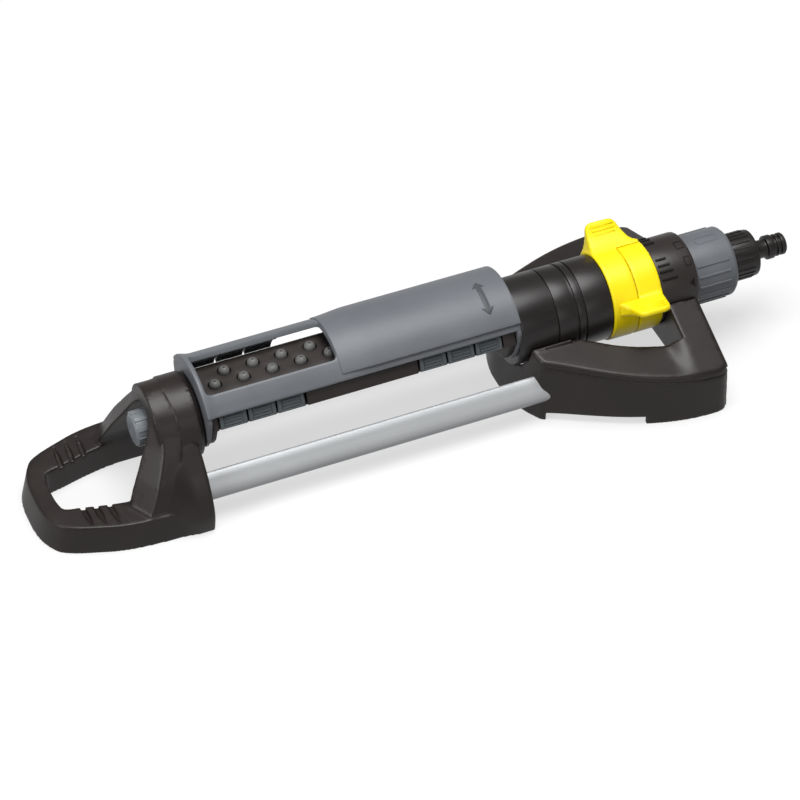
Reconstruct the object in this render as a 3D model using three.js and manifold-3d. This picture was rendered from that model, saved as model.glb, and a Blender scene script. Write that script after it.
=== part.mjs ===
// An oscillating lawn sprinkler: two feet joined by spars, a spray tube that rocks under a hood,
// and a water-driven gear motor in the barrel. Millimetres, +Z up, the tube runs along X.
import * as THREE from "three";
import { mergeVertices } from "three/addons/utils/BufferGeometryUtils.js";
import Module from "manifold-3d";

const wasm = await Module();
wasm.setup();

// Facets round a circle: large outer pieces, the usual, inner pieces and small rods
const fine = 28;
const usual = 20;
const coarse = 14;
const small = 8;

// Clearances
const fitGap = 0.3;
const runGap = 0.15;

// The tube's axis
const axisHeight = 58;

// Gear train, which sets the barrel's size
const gearModule = 1.1;
const pinionTeeth = 8;
const wheelTeeth = 18;
const pressureAngle = 25;
const toothHeight = 0.75;
const gearFace = 3.8;
const gearSpace = 1.8;
const gearBacklash = 0.3;
const arborRadius = 1.25;
const lowerArborAngle = 270;
const sideArborAngle = 330;
const gearPlateThickness = 3;
const pinionRadius = (gearModule * pinionTeeth) / 2;
const wheelRadius = (gearModule * wheelTeeth) / 2;
const arborDistance = pinionRadius + wheelRadius;

// Radii of the drive, from the gears outwards
const tripSleeveInner = arborDistance + wheelRadius + toothHeight * gearModule + 0.975;
const tripSleeveOuter = tripSleeveInner + 1.6;
const barrelBore = tripSleeveOuter + 1.3;
const barrelRadius = barrelBore + 2.5;
const spigotRadius = barrelRadius - 1.5;
const carrierInner = spigotRadius - 1.7;
const ringRadius = spigotRadius + 2.85;
const leverTip = ringRadius + 18.75;
const scaleRadius = spigotRadius + 0.4;
const turbineCasing = tripSleeveInner - 0.5;
const turbineBore = turbineCasing - 2;
const turbineRadius = turbineBore - 2.5;

// Left foot
const leftFootEnd = -280;
const leftRingTop = 22;
const gripGrooves = [31, 41, 51];
const gripWidth = 2.4;
const archLeft = leftFootEnd + 76;
const archRight = archLeft + 14;
const leftWallX = leftFootEnd + 117;
const sleeveEnd = leftWallX + 5.5;
const sleeveRadius = 30;
const footWall = 2.5;
const leftFootHalfWidth = 57;

// Spray tube and hood
const tubeRadius = 13;
const tubeBore = tubeRadius - 2;
const tubeLeft = leftWallX - 23;
const bushRadius = tubeRadius + 3;
const hoodLeft = sleeveEnd + 1;
const hoodLength = 234.7;
const hoodRight = hoodLeft + hoodLength;
const hoodRadius = 40;
const hoodWall = 3.4;
const hoodHalfAngle = 57.5;
const cheekThickness = 3.2;
const cheekRadius = hoodRadius + 2;
const windowHalfAngle = 34;
const windowBackAngle = 22;
const windowLeft = hoodLeft + 3.5;
const windowRight = hoodLeft + 100;
const coverLeft = windowRight + 0.5;
const coverWindowLeft = coverLeft + 8;
const coverWindowRight = hoodRight - 8.2;
const coverWall = 2;
const coverHalfAngle = 50;
const coverRamp = 20;
const coverInner = hoodRadius + fitGap;
const coverRadius = coverInner + coverWall;

// Nozzle tray, nozzles and tabs
const tabThickness = 2.7;
const trayRadius = hoodRadius - hoodWall - tabThickness - 0.9;
const trayWall = 2.2;
const plateTop = 25;
const plateThickness = 3.5;
const nozzlesPerRow = 10;
const nozzleRowY = 5.5;
const nozzlePitch = (hoodLength - 43.9) / (nozzlesPerRow - 1);
const nozzleFirstX = hoodLeft + 16.1;
const rowStagger = 10.8;
const nozzleTop = 28.8;
const nozzleRadius = 4;
const orificeRadius = 0.8;
const tabLength = nozzlePitch - 1.5;
const tabLowAngle = 74;
const tabHighAngle = 36;
const padTopAngle = 152;
const tabGroups = { left: hoodLeft + 19.1, right: hoodRight - 24.5 - 2 * nozzlePitch };

// Barrel
const barrelLeft = hoodRight + fitGap;
const barrelLength = 73.5;
const barrelRight = barrelLeft + barrelLength;
const barrelEndWall = 3;
const grooveDepth = 1.2;
const grooves = [[barrelRight - 42.5, 1], [barrelRight - 27.3, 2.2], [barrelRight - 20.7, 1.2]];
const spigotLength = 5;
const tubeShoulder = barrelLeft + 5.5;
const journalRadius = 6.8;
const journalBore = 5.3;
const journalEnd = tubeShoulder + 10.6;
const outputGearX = tubeShoulder + 4;
const gearStep = gearFace + gearSpace;
const stages = {
  third: outputGearX + gearStep + 1.6,
  second: outputGearX + 2 * gearStep + 1.6,
  first: outputGearX + 3 * gearStep + 1.6,
};
const gearPlateX = stages.first + gearFace + 2.3;

// Range rings and trip carrier
const lugOffset = 57;
const lugHalfAngle = 4;
const lugLength = 4;
const leverOverhang = 9;
const ringsLeft = barrelRight + fitGap;
const ringSplit = ringsLeft + 19.5;
const ringRight = ringsLeft + 38.5;
const rings = {
  back: { left: ringsLeft, right: ringSplit, lever: 55 },
  front: { left: ringSplit + 0.4, right: ringRight, lever: 161 },
};
Object.assign(rings.back, { lug: -lugOffset, travel: [-50, 0] });
Object.assign(rings.front, { lug: lugOffset, travel: [-40, 0] });
Object.assign(rings.back, { leverLeft: ringsLeft + 3.7, leverRight: ringSplit + leverOverhang });
Object.assign(rings.front, { leverLeft: ringSplit - leverOverhang + 3, leverRight: ringRight - 1 });
const carrierLeft = barrelRight + spigotLength + 0.5;
const carrierRight = ringRight - 1.3;
const carrierWall = 2.5;
const jetAngles = [20, 160];

// Turbine
const turbineLength = 12;
const turbineHub = 4;
const bladeCount = 10;
const shaftRadius = 1.5;
const casingWall = 3;
const casingBoss = 6;
const turbineCasingEnd = carrierRight - carrierWall - 1;
const turbineX = turbineCasingEnd - casingWall - turbineLength - 3;
const tripSleeveEnd = barrelRight - 2;
const fingerEnd = turbineCasingEnd - 2;
const fingerAngle = 270;
const fingerHalfAngle = 6;

// Scale ring, knob, inlet and hose connector
const scaleLeft = ringRight + 0.4;
const scaleLength = 28.5;
const scaleRight = scaleLeft + scaleLength;
const scaleWall = 2;
const webThickness = 3;
const knobLeft = scaleRight + 0.8;
const knobLength = 35.5;
const knobRight = knobLeft + knobLength;
const knobRadius = 25.9;
const knobWall = 2.4;
const inletLeft = scaleLeft + fitGap + webThickness + fitGap;
const inletRadius = 12;
const inletBore = 9;
const threadRadius = 13.1;
const valveWall = 2;
const portX = inletLeft + 8.2;
const portRadius = 3;
const nutLeft = knobRight + 1;
const nutRight = nutLeft + 21;
const nutRadius = 17.2;
const nutShoulder = nutRight + 3;
const threadEnd = nutRight - 2;
const noseEnd = nutRight + 25.5;
const noseRadius = 7.95;
const noseBore = 4;

// Spars
const sparY = 42;
const sparWidth = 12.5;
const sparBottom = 13;
const sparHeight = 22.2;
const sparWall = 1.4;
const sparLeft = leftWallX - 23;

// Right foot
const rightFootLeft = barrelLeft - 2.5;
const rightFootRight = scaleRight - 1.2;
const rightFootHalfWidth = 89;
const leanHeight = axisHeight - 5.5;
const rightTopPeak = axisHeight + 3.5;
const rightTopSlope = 0.06;
const rightTopFall = 0.21;
const cradleLeft = rightFootLeft + 14;
const cradleRight = rightFootLeft + 42;
const cradleWall = 2.5;
const sparRight = cradleRight - 4;
const openingRight = scaleLeft + 2.8;
const underpassTop = axisHeight - 38;
const skirtRaise = 6;

const centreX = (leftFootEnd + noseEnd) / 2;
const radians = THREE.MathUtils.degToRad;

// ---- From three.js geometry to solids and back ----

function solid(geometry) {
  const bare = geometry.clone();
  bare.deleteAttribute("normal");
  bare.deleteAttribute("uv");
  const merged = mergeVertices(bare, 1e-4);
  const made = new wasm.Manifold(
    new wasm.Mesh({
      numProp: 3,
      vertProperties: Float32Array.from(merged.attributes.position.array),
      triVerts: Uint32Array.from(merged.index.array),
    }),
  );
  if (made.volume() >= 0) return made;
  const flipped = Uint32Array.from(merged.index.array);
  for (let i = 0; i < flipped.length; i += 3) {
    [flipped[i + 1], flipped[i + 2]] = [flipped[i + 2], flipped[i + 1]];
  }
  return new wasm.Manifold(
    new wasm.Mesh({
      numProp: 3,
      vertProperties: Float32Array.from(merged.attributes.position.array),
      triVerts: flipped,
    }),
  );
}

function geometryOf(made) {
  const mesh = made.getMesh();
  const geometry = new THREE.BufferGeometry();
  geometry.setAttribute("position", new THREE.BufferAttribute(mesh.vertProperties, 3));
  geometry.setIndex(new THREE.BufferAttribute(mesh.triVerts, 1));
  geometry.computeVertexNormals();
  return geometry;
}

const joined = (...pieces) => pieces.reduce((whole, piece) => whole.add(piece));
const cutBy = (body, ...cutters) => cutters.reduce((rest, cutter) => rest.subtract(cutter), body);

// ---- Basic bodies round the tube's axis: y and z are measured from that axis ----

const onAxis = (geometry) => geometry.translate(0, 0, axisHeight);

// A body of revolution about the tube's axis, from [x, radius] points that close on themselves.
function turned(points, segments = usual) {
  const profile = [...points, points[0]].map(([x, radius]) => new THREE.Vector2(radius, x));
  const geometry = new THREE.LatheGeometry(profile, segments);
  geometry.rotateZ(-Math.PI / 2);
  return solid(onAxis(geometry));
}

function ring(left, right, inner, outer, segments = usual) {
  return turned([[left, inner], [left, outer], [right, outer], [right, inner]], segments);
}

function rod(left, right, radius, segments = usual, y = 0, z = 0) {
  const geometry = new THREE.CylinderGeometry(radius, radius, right - left, segments);
  geometry.rotateZ(-Math.PI / 2);
  geometry.translate((left + right) / 2, y, z);
  return solid(onAxis(geometry));
}

// A shape drawn in Y and Z about the axis, carried along X.
function carried(shape, left, right, curveSegments = 10) {
  const options = { depth: right - left, bevelEnabled: false, curveSegments };
  const geometry = new THREE.ExtrudeGeometry(shape, options);
  geometry.rotateX(Math.PI / 2);
  geometry.rotateZ(Math.PI / 2);
  geometry.translate(left, 0, 0);
  return onAxis(geometry);
}

const alongX = (shape, left, right, curveSegments) => solid(carried(shape, left, right, curveSegments));
const leaned = (shape, left, right, move) => solid(reshaped(carried(shape, left, right), move));

// A shape drawn in X and Y, carried up from the bottom height to the top height.
function upward(shape, bottom, top) {
  const options = { depth: top - bottom, bevelEnabled: false };
  const geometry = new THREE.ExtrudeGeometry(shape, options);
  geometry.translate(0, 0, bottom);
  return geometry;
}

function block(x, y, z) {
  const geometry = new THREE.BoxGeometry(x[1] - x[0], y[1] - y[0], z[1] - z[0]);
  geometry.translate((x[0] + x[1]) / 2, (y[0] + y[1]) / 2, (z[0] + z[1]) / 2);
  return solid(geometry);
}

// An arc band between two radii; angles in degrees, 0 at +Y and 90 at the top.
function bandShape(inner, outer, from, to) {
  const shape = new THREE.Shape();
  shape.absarc(0, 0, outer, radians(from), radians(to), false);
  shape.absarc(0, 0, inner, radians(to), radians(from), true);
  shape.closePath();
  return shape;
}

function band(left, right, inner, outer, from, to, curveSegments = 10) {
  return alongX(bandShape(inner, outer, from, to), left, right, curveSegments);
}

// A wedge reaching past every radius, used to keep or cut a range of angles.
function wedge(left, right, from, to) {
  const reach = 90;
  const shape = new THREE.Shape();
  shape.moveTo(0, 0);
  shape.lineTo(reach * Math.cos(radians(from)), reach * Math.sin(radians(from)));
  shape.absarc(0, 0, reach, radians(from), radians(to), false);
  shape.closePath();
  return alongX(shape, left, right, 4);
}

const mirroredBack = (made) => made.mirror([0, 1, 0]);

function outline(points) {
  return new THREE.Shape(points.map(([x, y]) => new THREE.Vector2(x, y)));
}

// Both halves of an outline that is given for y >= 0, in order of x.
function symmetric(half) {
  const other = half.filter(([, y]) => y > 0).map(([x, y]) => [x, -y]);
  return [...half, ...other.reverse()];
}

// The outline moved inwards by a distance (outwards when it is negative).
function inset(points, distance) {
  const area = THREE.ShapeUtils.area(points.map(([x, y]) => new THREE.Vector2(x, y)));
  const side = Math.sign(area);
  return points.map((point, i) => {
    const before = points[(i + points.length - 1) % points.length];
    const after = points[(i + 1) % points.length];
    const a = new THREE.Vector2(point[0] - before[0], point[1] - before[1]).normalize();
    const b = new THREE.Vector2(after[0] - point[0], after[1] - point[1]).normalize();
    const normal = new THREE.Vector2(-a.y - b.y, a.x + b.x).normalize();
    const reach = (side * distance) / Math.max(0.5, normal.dot(new THREE.Vector2(-a.y, a.x)));
    return [point[0] + normal.x * reach, point[1] + normal.y * reach];
  });
}

function reshaped(geometry, move) {
  const position = geometry.attributes.position;
  const point = new THREE.Vector3();
  for (let i = 0; i < position.count; i += 1) {
    point.fromBufferAttribute(position, i);
    move(point);
    position.setXYZ(i, point.x, point.y, point.z);
  }
  return geometry;
}

// ---- Left foot ----

const leftOutline = symmetric([
  [leftFootEnd, 0],
  [leftFootEnd + 1, 14],
  [leftFootEnd + 5, 27],
  [leftFootEnd + 12, 36],
  [leftFootEnd + 24, 42.4],
  [leftFootEnd + 56.4, 51.8],
  [leftFootEnd + 73.2, 55.9],
  [leftWallX, leftFootHalfWidth],
]);
const leftOpening = symmetric([
  [leftFootEnd + 18, 0],
  [leftFootEnd + 19, 14],
  [leftFootEnd + 24, 19.5],
  [leftFootEnd + 42, 23],
  [leftFootEnd + 66, 28],
  [archLeft, 33],
  [leftWallX - 5, 33],
]);

// The skirt leans inwards as it rises.
function leanLeft(point) {
  const lift = point.z / leftRingTop;
  const share = Math.min(1, Math.max(0, (leftFootEnd + 80 - point.x) / 80));
  point.x += 6.4 * lift * share;
  point.y *= 1 - 0.035 * lift;
}

// The arch over the end plug, as half-widths and heights above the axis
const archOuter = [[51.5, -46], [51.5, -40], [50.2, -31], [46.5, -20], [41.4, -10], [36.1, -0.5], [29.8, 8.5],
  [22.5, 16.8], [14.5, 24], [7, 29], [0, 30.6]];
const archInner = [[30.5, -53], [30.5, -34], [29.4, -27], [25.9, -16], [21.6, -6], [18.6, 2], [15.4, 8.5],
  [10.6, 15], [5.5, 19.2], [0, 20.8]];

function archShape(side) {
  const back = side.slice(0, -1).reverse().map(([y, z]) => [-y, z]);
  const shape = new THREE.Shape();
  shape.moveTo(...side[0]);
  [...side.slice(1), ...back].forEach(([y, z]) => shape.lineTo(y, z));
  shape.closePath();
  return shape;
}

// The arch's face leans back as it rises and towards its outer edge; the wall behind stays upright.
const archLean = 0.6;
const archSweep = 0.45;
const archMiddle = 20;
const archWaist = 0.1;

function leanArch(point) {
  const share = Math.min(1, Math.max(0, (leftWallX - point.x) / (leftWallX - archRight)));
  const height = Math.max(point.z, leftRingTop);
  const aside = Math.abs(point.y) - archMiddle;
  point.x += share * (archLean * (height - axisHeight) + archSweep * aside);
}

function narrowArch(point) {
  const share = Math.min(1, Math.max(0, (leftWallX - point.x) / (leftWallX - archRight)));
  if (point.z > leftRingTop && point.z < axisHeight) point.y *= 1 - archWaist * share;
  leanArch(point);
}

// The A-shaped section at the bearing wall: round on top, flaring to the ground.
function wallShape(shrink) {
  const base = -axisHeight + (shrink > 0 ? -1 : 0);
  const side = [
    [leftFootHalfWidth - shrink, base],
    [leftFootHalfWidth + 3 - shrink, -axisHeight + 15],
    [49 - shrink, -16],
    [35 - shrink, -2],
  ];
  const shape = new THREE.Shape();
  shape.moveTo(...side[0]);
  side.slice(1).forEach(([y, z]) => shape.lineTo(y, z));
  shape.absarc(0, 0, sleeveRadius - shrink, radians(15), radians(165), false);
  side.reverse().forEach(([y, z]) => shape.lineTo(-y, z));
  shape.closePath();
  return shape;
}

function sparSection(grow) {
  const half = sparWidth / 2 + grow;
  const top = sparBottom + sparHeight + grow;
  const bottom = sparBottom - grow;
  const shape = new THREE.Shape();
  shape.absarc(0, top - half - axisHeight, half, 0, Math.PI, false);
  shape.absarc(0, bottom + half - axisHeight, half, Math.PI, 2 * Math.PI, false);
  shape.closePath();
  return shape;
}

const sparBody = (grow, left, right) => alongX(sparSection(grow), left, right, 8).translate([0, -sparY, 0]);

const sparScrewX = { left: (sparLeft + leftWallX) / 2, right: (cradleLeft + sparRight) / 2 + 4 };
const screwShank = 2;
const screwHead = 3.8;
const screwHeadDepth = 2.2;
const socketWall = 2.2;
const sparMid = sparBottom + sparHeight / 2;

// A rod across the part, for screws and their holes.
function crossRod(x, from, to, radius, z) {
  const geometry = new THREE.CylinderGeometry(radius, radius, to - from, small);
  geometry.translate(x, (from + to) / 2, z);
  return solid(geometry);
}

function sparSocket(left, right) {
  const grow = fitGap + socketWall;
  return sparBody(grow, left, right);
}

function bothSides(body, makeTool, work) {
  const tool = makeTool();
  return work(work(body, tool), mirroredBack(tool));
}

function leftFoot() {
  const skirt = solid(reshaped(upward(outline(leftOutline), 0, leftRingTop), leanLeft));
  const hollow = solid(
    reshaped(upward(outline(inset(leftOutline, footWall)), -1, leftRingTop - footWall), leanLeft),
  );
  const openingKeep = solid(upward(outline(inset(leftOpening, -footWall)), -2, leftRingTop + 1));
  const opening = solid(upward(outline(leftOpening), -3, leftRingTop + 2));
  const loop = cutBy(skirt, hollow.subtract(openingKeep), opening);
  const frame = cutBy(
    leaned(archShape(archOuter), archLeft, archRight + 1, leanArch),
    leaned(archShape(archInner), archLeft - 14, archRight + 12, leanArch),
  );
  const tunnel = cutBy(
    leaned(wallShape(0), archRight, leftWallX, narrowArch),
    leaned(wallShape(footWall), archRight - 14, leftWallX - footWall, narrowArch),
  );
  const sleeve = cutBy(
    rod(leftWallX - 1, sleeveEnd, sleeveRadius, fine),
    rod(leftWallX + 2, sleeveEnd + 1, sleeveRadius - footWall, fine),
  );
  const bearing = rod(tubeLeft + 2, sleeveEnd, bushRadius + fitGap + 3);
  let foot = joined(loop, frame, tunnel, sleeve, bearing);
  foot = bothSides(foot, () => sparSocket(sparLeft - 2, leftWallX), (body, tool) => body.add(tool));
  foot = foot.subtract(rod(tubeLeft, sleeveEnd + 1, bushRadius + fitGap));
  foot = bothSides(
    foot,
    () => sparBody(fitGap, sparLeft - fitGap, leftWallX + 5),
    (body, tool) => body.subtract(tool),
  );
  foot = bothSides(
    foot,
    () => crossRod(sparScrewX.left, -sparY, -20, screwShank + fitGap, sparMid),
    (body, tool) => body.subtract(tool),
  );
  gripGrooves.map((step) => leftFootEnd + step).forEach((x) => {
    [-1, 1].forEach((side) => {
      const reach = [side * 22, side * 44].sort((a, b) => a - b);
      foot = foot.subtract(block([x, x + gripWidth], reach, [leftRingTop - 1.2, leftRingTop + 5]));
    });
  });
  return foot;
}

// ---- Right foot ----

const rightOutline = symmetric([
  [rightFootLeft, 0],
  [rightFootLeft + 3, 24],
  [rightFootLeft + 12, 44],
  [rightFootLeft + 25.6, 52.5],
  [rightFootLeft + 48, 64.9],
  [rightFootRight - 62.1, 79.8],
  [rightFootRight - 43.5, 85.3],
  [rightFootRight - 26.5, 88.3],
  [rightFootRight - 5.5, rightFootHalfWidth],
  [rightFootRight, 85.8],
]);
const rightOpening = symmetric([
  [cradleRight, 26],
  [cradleRight + 17, 37],
  [cradleRight + 29, 43.4],
  [openingRight - 29, 50],
  [openingRight, 56],
]);

function leanRight(point) {
  const lift = point.z / leanHeight;
  const share = Math.min(1, Math.max(0, (rightFootLeft + 74 - point.x) / 74));
  point.x += 12 * lift * share;
  point.y *= 1 - 0.05 * lift;
}

// Everything above the foot's top, which falls to both sides and to the right, lowered by a drop.
function aboveRightTop(drop) {
  const reach = 120;
  const peak = rightTopPeak - drop;
  const roof = outline([
    [-reach, peak - reach * rightTopFall], [0, peak], [reach, peak - reach * rightTopFall],
    [reach, 3 * axisHeight], [-reach, 3 * axisHeight],
  ]);
  const geometry = new THREE.ExtrudeGeometry(roof, { depth: 2 * reach, bevelEnabled: false });
  geometry.rotateX(Math.PI / 2);
  geometry.rotateZ(Math.PI / 2);
  const start = rightFootLeft + 12;
  return solid(
    reshaped(geometry.translate(start - reach / 2, 0, 0), (point) => {
      point.z -= (point.x - start) * rightTopSlope;
    }),
  );
}

// The arm over the right end of the foot, which carries the scale ring.
function crossArm() {
  const upper = [[84, -24], [scaleRadius + 3.7, 0]];
  const lower = [[scaleRadius - 4.3, -30], [60, -40], [78, -46]];
  const mirrored = (points) => points.map(([y, z]) => [-y, z]).reverse();
  const shape = outline([...lower, ...upper, ...mirrored(upper), ...mirrored(lower)]);
  return alongX(shape, openingRight, rightFootRight - 2);
}

function rightFoot() {
  const shell = solid(reshaped(upward(outline(rightOutline), 0, axisHeight), leanRight));
  const hollow = solid(
    reshaped(upward(outline(inset(rightOutline, footWall)), -1, axisHeight), leanRight),
  ).subtract(aboveRightTop(footWall));
  const openingKeep = solid(upward(outline(inset(rightOpening, -footWall)), -2, axisHeight + 10));
  const opening = solid(upward(outline(rightOpening), -3, axisHeight + 20));
  const body = cutBy(
    shell,
    aboveRightTop(0),
    hollow.subtract(openingKeep),
    opening,
    block([cradleLeft + 3, rightFootRight - 61.5], [-100, 100], [-1, skirtRaise]),
    block([openingRight - 5, rightFootRight + 5], [-62, 62], [-1, underpassTop]),
  );
  const arm = crossArm().subtract(block([openingRight - 1, rightFootRight], [-22, 22], [0, 2 * axisHeight]));
  const cradle = band(
    cradleLeft, cradleRight, barrelRadius + fitGap, barrelRadius + fitGap + cradleWall, 176, 364, 20,
  );
  let foot = joined(body, arm, cradle);
  foot = bothSides(
    foot,
    () => sparSocket(cradleLeft - 12, sparRight + fitGap + socketWall).intersect(shell),
    (whole, tool) => whole.add(tool),
  );
  foot = cutBy(
    foot,
    rod(rightFootLeft - 5, barrelRight, barrelRadius + fitGap, fine),
    rod(barrelRight - 1, rightFootRight + 5, scaleRadius + fitGap, fine),
    ...cradleScrewX.map((x) => verticalRod(x, 10, axisHeight - barrelRadius + 3, screwShank + fitGap)),
  );
  foot = bothSides(
    foot,
    () => sparBody(fitGap, rightFootLeft - 10, sparRight + fitGap),
    (whole, tool) => whole.subtract(tool),
  );
  return bothSides(
    foot,
    () => crossRod(sparScrewX.right, -sparY, -20, screwShank + fitGap, sparMid),
    (whole, tool) => whole.subtract(tool),
  );
}

// ---- Spars and screws ----

function spar() {
  return cutBy(
    sparBody(0, sparLeft, sparRight),
    sparBody(-sparWall, sparLeft - 1, sparRight + 1),
    ...Object.values(sparScrewX).map((x) => crossRod(x, -sparY, -30, screwShank + fitGap, sparMid)),
  );
}

function sparScrew(x) {
  const seat = -sparY + sparWidth / 2 + fitGap + socketWall + fitGap;
  return joined(
    crossRod(x, seat, seat + screwHeadDepth, screwHead, sparMid),
    crossRod(x, -sparY, seat + 0.5, screwShank, sparMid),
  );
}

const cradleScrewX = [cradleLeft + 9, cradleRight - 9];

function verticalRod(x, bottom, top, radius) {
  const geometry = new THREE.CylinderGeometry(radius, radius, top - bottom, small);
  geometry.rotateX(Math.PI / 2);
  geometry.translate(x, 0, (bottom + top) / 2);
  return solid(geometry);
}

function cradleScrew(x) {
  const seat = axisHeight - barrelRadius - fitGap - cradleWall - fitGap;
  return joined(
    verticalRod(x, seat - screwHeadDepth, seat, screwHead),
    verticalRod(x, seat - 0.5, axisHeight - barrelBore + 0.5, screwShank),
  );
}

// ---- Spray tube, plug and bush ----

function sprayTube() {
  const tube = turned([
    [tubeLeft, tubeBore], [tubeLeft, tubeRadius], [tubeShoulder, tubeRadius],
    [tubeShoulder, journalRadius], [journalEnd, journalRadius], [journalEnd, journalBore],
    [tubeShoulder - 3, journalBore], [tubeShoulder - 3, tubeBore],
  ]);
  const holes = nozzleXs(0).map((x) => verticalRod(x, axisHeight + 5, axisHeight + 20, 2.4));
  return cutBy(tube, ...holes);
}

const nozzleXs = (offset) =>
  Array.from({ length: nozzlesPerRow }, (_, k) => nozzleFirstX + offset + k * nozzlePitch);

function bearingBush() {
  const bore = (tubeRadius + runGap) / Math.cos(Math.PI / usual);
  return turned([
    [tubeLeft + 2, bore], [tubeLeft + 2, bushRadius], [sleeveEnd - 2, bushRadius], [sleeveEnd - 2, bore],
  ]);
}

const plugHead = { left: tubeLeft - 14, right: tubeLeft - fitGap, radius: tubeRadius - 0.4 };
const plugRibs = 8;

function endPlug() {
  const shank = turned([
    [plugHead.left, 0.01], [plugHead.left, 10], [plugHead.left + 1.5, plugHead.radius],
    [plugHead.right, plugHead.radius], [plugHead.right, tubeBore - fitGap],
    [plugHead.right + 5, tubeBore - fitGap], [plugHead.right + 5, tubeBore - 2],
    [plugHead.right + 8, tubeBore - 2], [plugHead.right + 8, tubeBore - fitGap],
    [plugHead.right + 11, tubeBore - fitGap], [plugHead.right + 11, 1],
    [plugHead.right + 30, 0.6], [plugHead.right + 30, 0.01],
  ]);
  const core = rod(plugHead.left, plugHead.right + 30, 0.2, 8);
  const slots = Array.from({ length: plugRibs }, (_, k) => {
    const angle = (k * 360) / plugRibs;
    return band(plugHead.left - 1, plugHead.right - 3, plugHead.radius - 1.2, 20, angle, angle + 22, 2);
  });
  return cutBy(joined(shank, core), ...slots);
}

function plugSeal() {
  return ring(
    plugHead.right + 5.3, plugHead.right + 7.7, tubeBore - 1.7, tubeBore - fitGap, usual,
  );
}

// ---- Nozzle tray, nozzle strips and tabs ----

const trayLeft = hoodLeft + cheekThickness + fitGap;
const trayRight = hoodRight - cheekThickness - fitGap;
const stripHalfWidth = 3.6;
const stripThickness = 1.6;

// The cheek outline: round at the top, tapering to the tube below.
function cheekShape(radius, grow) {
  const shape = new THREE.Shape();
  shape.absarc(0, 0, radius, radians(90 - hoodHalfAngle), radians(90 + hoodHalfAngle), false);
  shape.lineTo(-30 - grow, 2);
  shape.lineTo(-13 - grow, -17);
  shape.absarc(0, -8, 15 + grow, radians(215), radians(325), false);
  shape.lineTo(13 + grow, -17);
  shape.lineTo(30 + grow, 2);
  shape.closePath();
  return shape;
}

// The solid stretch of the tray between the two groups of tabs
const betweenTabs = {
  left: tabGroups.left + 2 * nozzlePitch + tabLength / 2 + 2.15,
  right: tabGroups.right - tabLength / 2 - 1.45,
};

function nozzleTray() {
  const half = Math.sqrt(trayRadius ** 2 - plateTop ** 2);
  const plate = block(
    [trayLeft, trayRight],
    [-half, half],
    [axisHeight + plateTop - plateThickness, axisHeight + plateTop],
  );
  const saddle = block([trayLeft, trayRight], [-9.5, 9.5], [axisHeight + 8, axisHeight + plateTop - 1]);
  const skirt = band(trayLeft, trayRight, trayRadius - trayWall, trayRadius, 127, 90 + tabLowAngle, 10);
  const fill = band(betweenTabs.left, betweenTabs.right, trayRadius - 1, trayRadius + 3, padTopAngle, 90 + tabLowAngle, 4);
  const cheeks = [[trayLeft, trayLeft + 4], [trayRight - 4, trayRight]].map(([left, right]) =>
    alongX(cheekShape(trayRadius - 0.5, -2), left, right, 10).subtract(
      block([left - 1, right + 1], [-60, 60], [axisHeight + plateTop - 0.5, 200]),
    ),
  );
  const slots = [-1, 1].map((side) =>
    block(
      [nozzleFirstX - 3, nozzleXs(rowStagger)[nozzlesPerRow - 1] + 3],
      [side * nozzleRowY - 1.3, side * nozzleRowY + 1.3],
      [axisHeight + 5, axisHeight + 30],
    ),
  );
  const bare = joined(plate, saddle, skirt, mirroredBack(skirt), fill, mirroredBack(fill), ...cheeks);
  return cutBy(
    bare,
    ...slots,
    rod(hoodLeft - 1, hoodRight + 1, tubeRadius + fitGap),
    block([coverLeft, coverLeft + 7], [0, 60], [0, axisHeight + 10]),
  );
}

function nozzle(x, y) {
  const base = plateTop + fitGap;
  const profile = [
    [0, base], [nozzleRadius, base], [nozzleRadius - 0.6, nozzleTop - 1.4], [0, nozzleTop],
  ].map(([radius, z]) => new THREE.Vector2(radius, z));
  const geometry = new THREE.LatheGeometry(profile, small);
  geometry.rotateX(Math.PI / 2);
  geometry.translate(x, y, 0);
  return solid(onAxis(geometry));
}

function nozzleStrip(side, offset) {
  const xs = nozzleXs(offset);
  const y = side * nozzleRowY;
  const base = block(
    [xs[0] - 5, xs[nozzlesPerRow - 1] + 5],
    [y - stripHalfWidth, y + stripHalfWidth],
    [axisHeight + plateTop + fitGap, axisHeight + plateTop + fitGap + stripThickness],
  );
  const holes = xs.map((x) => {
    const geometry = new THREE.CylinderGeometry(orificeRadius, orificeRadius, 20, 6);
    geometry.rotateX(Math.PI / 2);
    geometry.translate(x, y, axisHeight + plateTop);
    return solid(geometry);
  });
  return cutBy(joined(base, ...xs.map((x) => nozzle(x, y))), ...holes);
}

// A curved slide over the tray's skirt, thicker at the finger pad.
function tab(x) {
  const inner = trayRadius + fitGap;
  const outer = inner + tabThickness;
  const low = radians(90 + tabLowAngle);
  const shape = new THREE.Shape();
  shape.absarc(0, 0, outer - 0.7, radians(90 + tabHighAngle), radians(padTopAngle), false);
  shape.absarc(0, 0, outer, radians(padTopAngle), low, false);
  shape.absarc(0, 0, inner, low, radians(90 + tabHighAngle), true);
  shape.closePath();
  return alongX(shape, x, x + tabLength, 4);
}

// ---- Hood and splash cover ----

function windowCut(left, right, backAngle) {
  const corner = 4;
  const low = 90 - backAngle;
  const high = 90 + windowHalfAngle;
  const cornerAngle = 6;
  return joined(
    band(left + corner, right - corner, 20, 60, low, high, 4),
    band(left, right, 20, 60, low + cornerAngle, high - cornerAngle, 4),
  );
}

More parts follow.
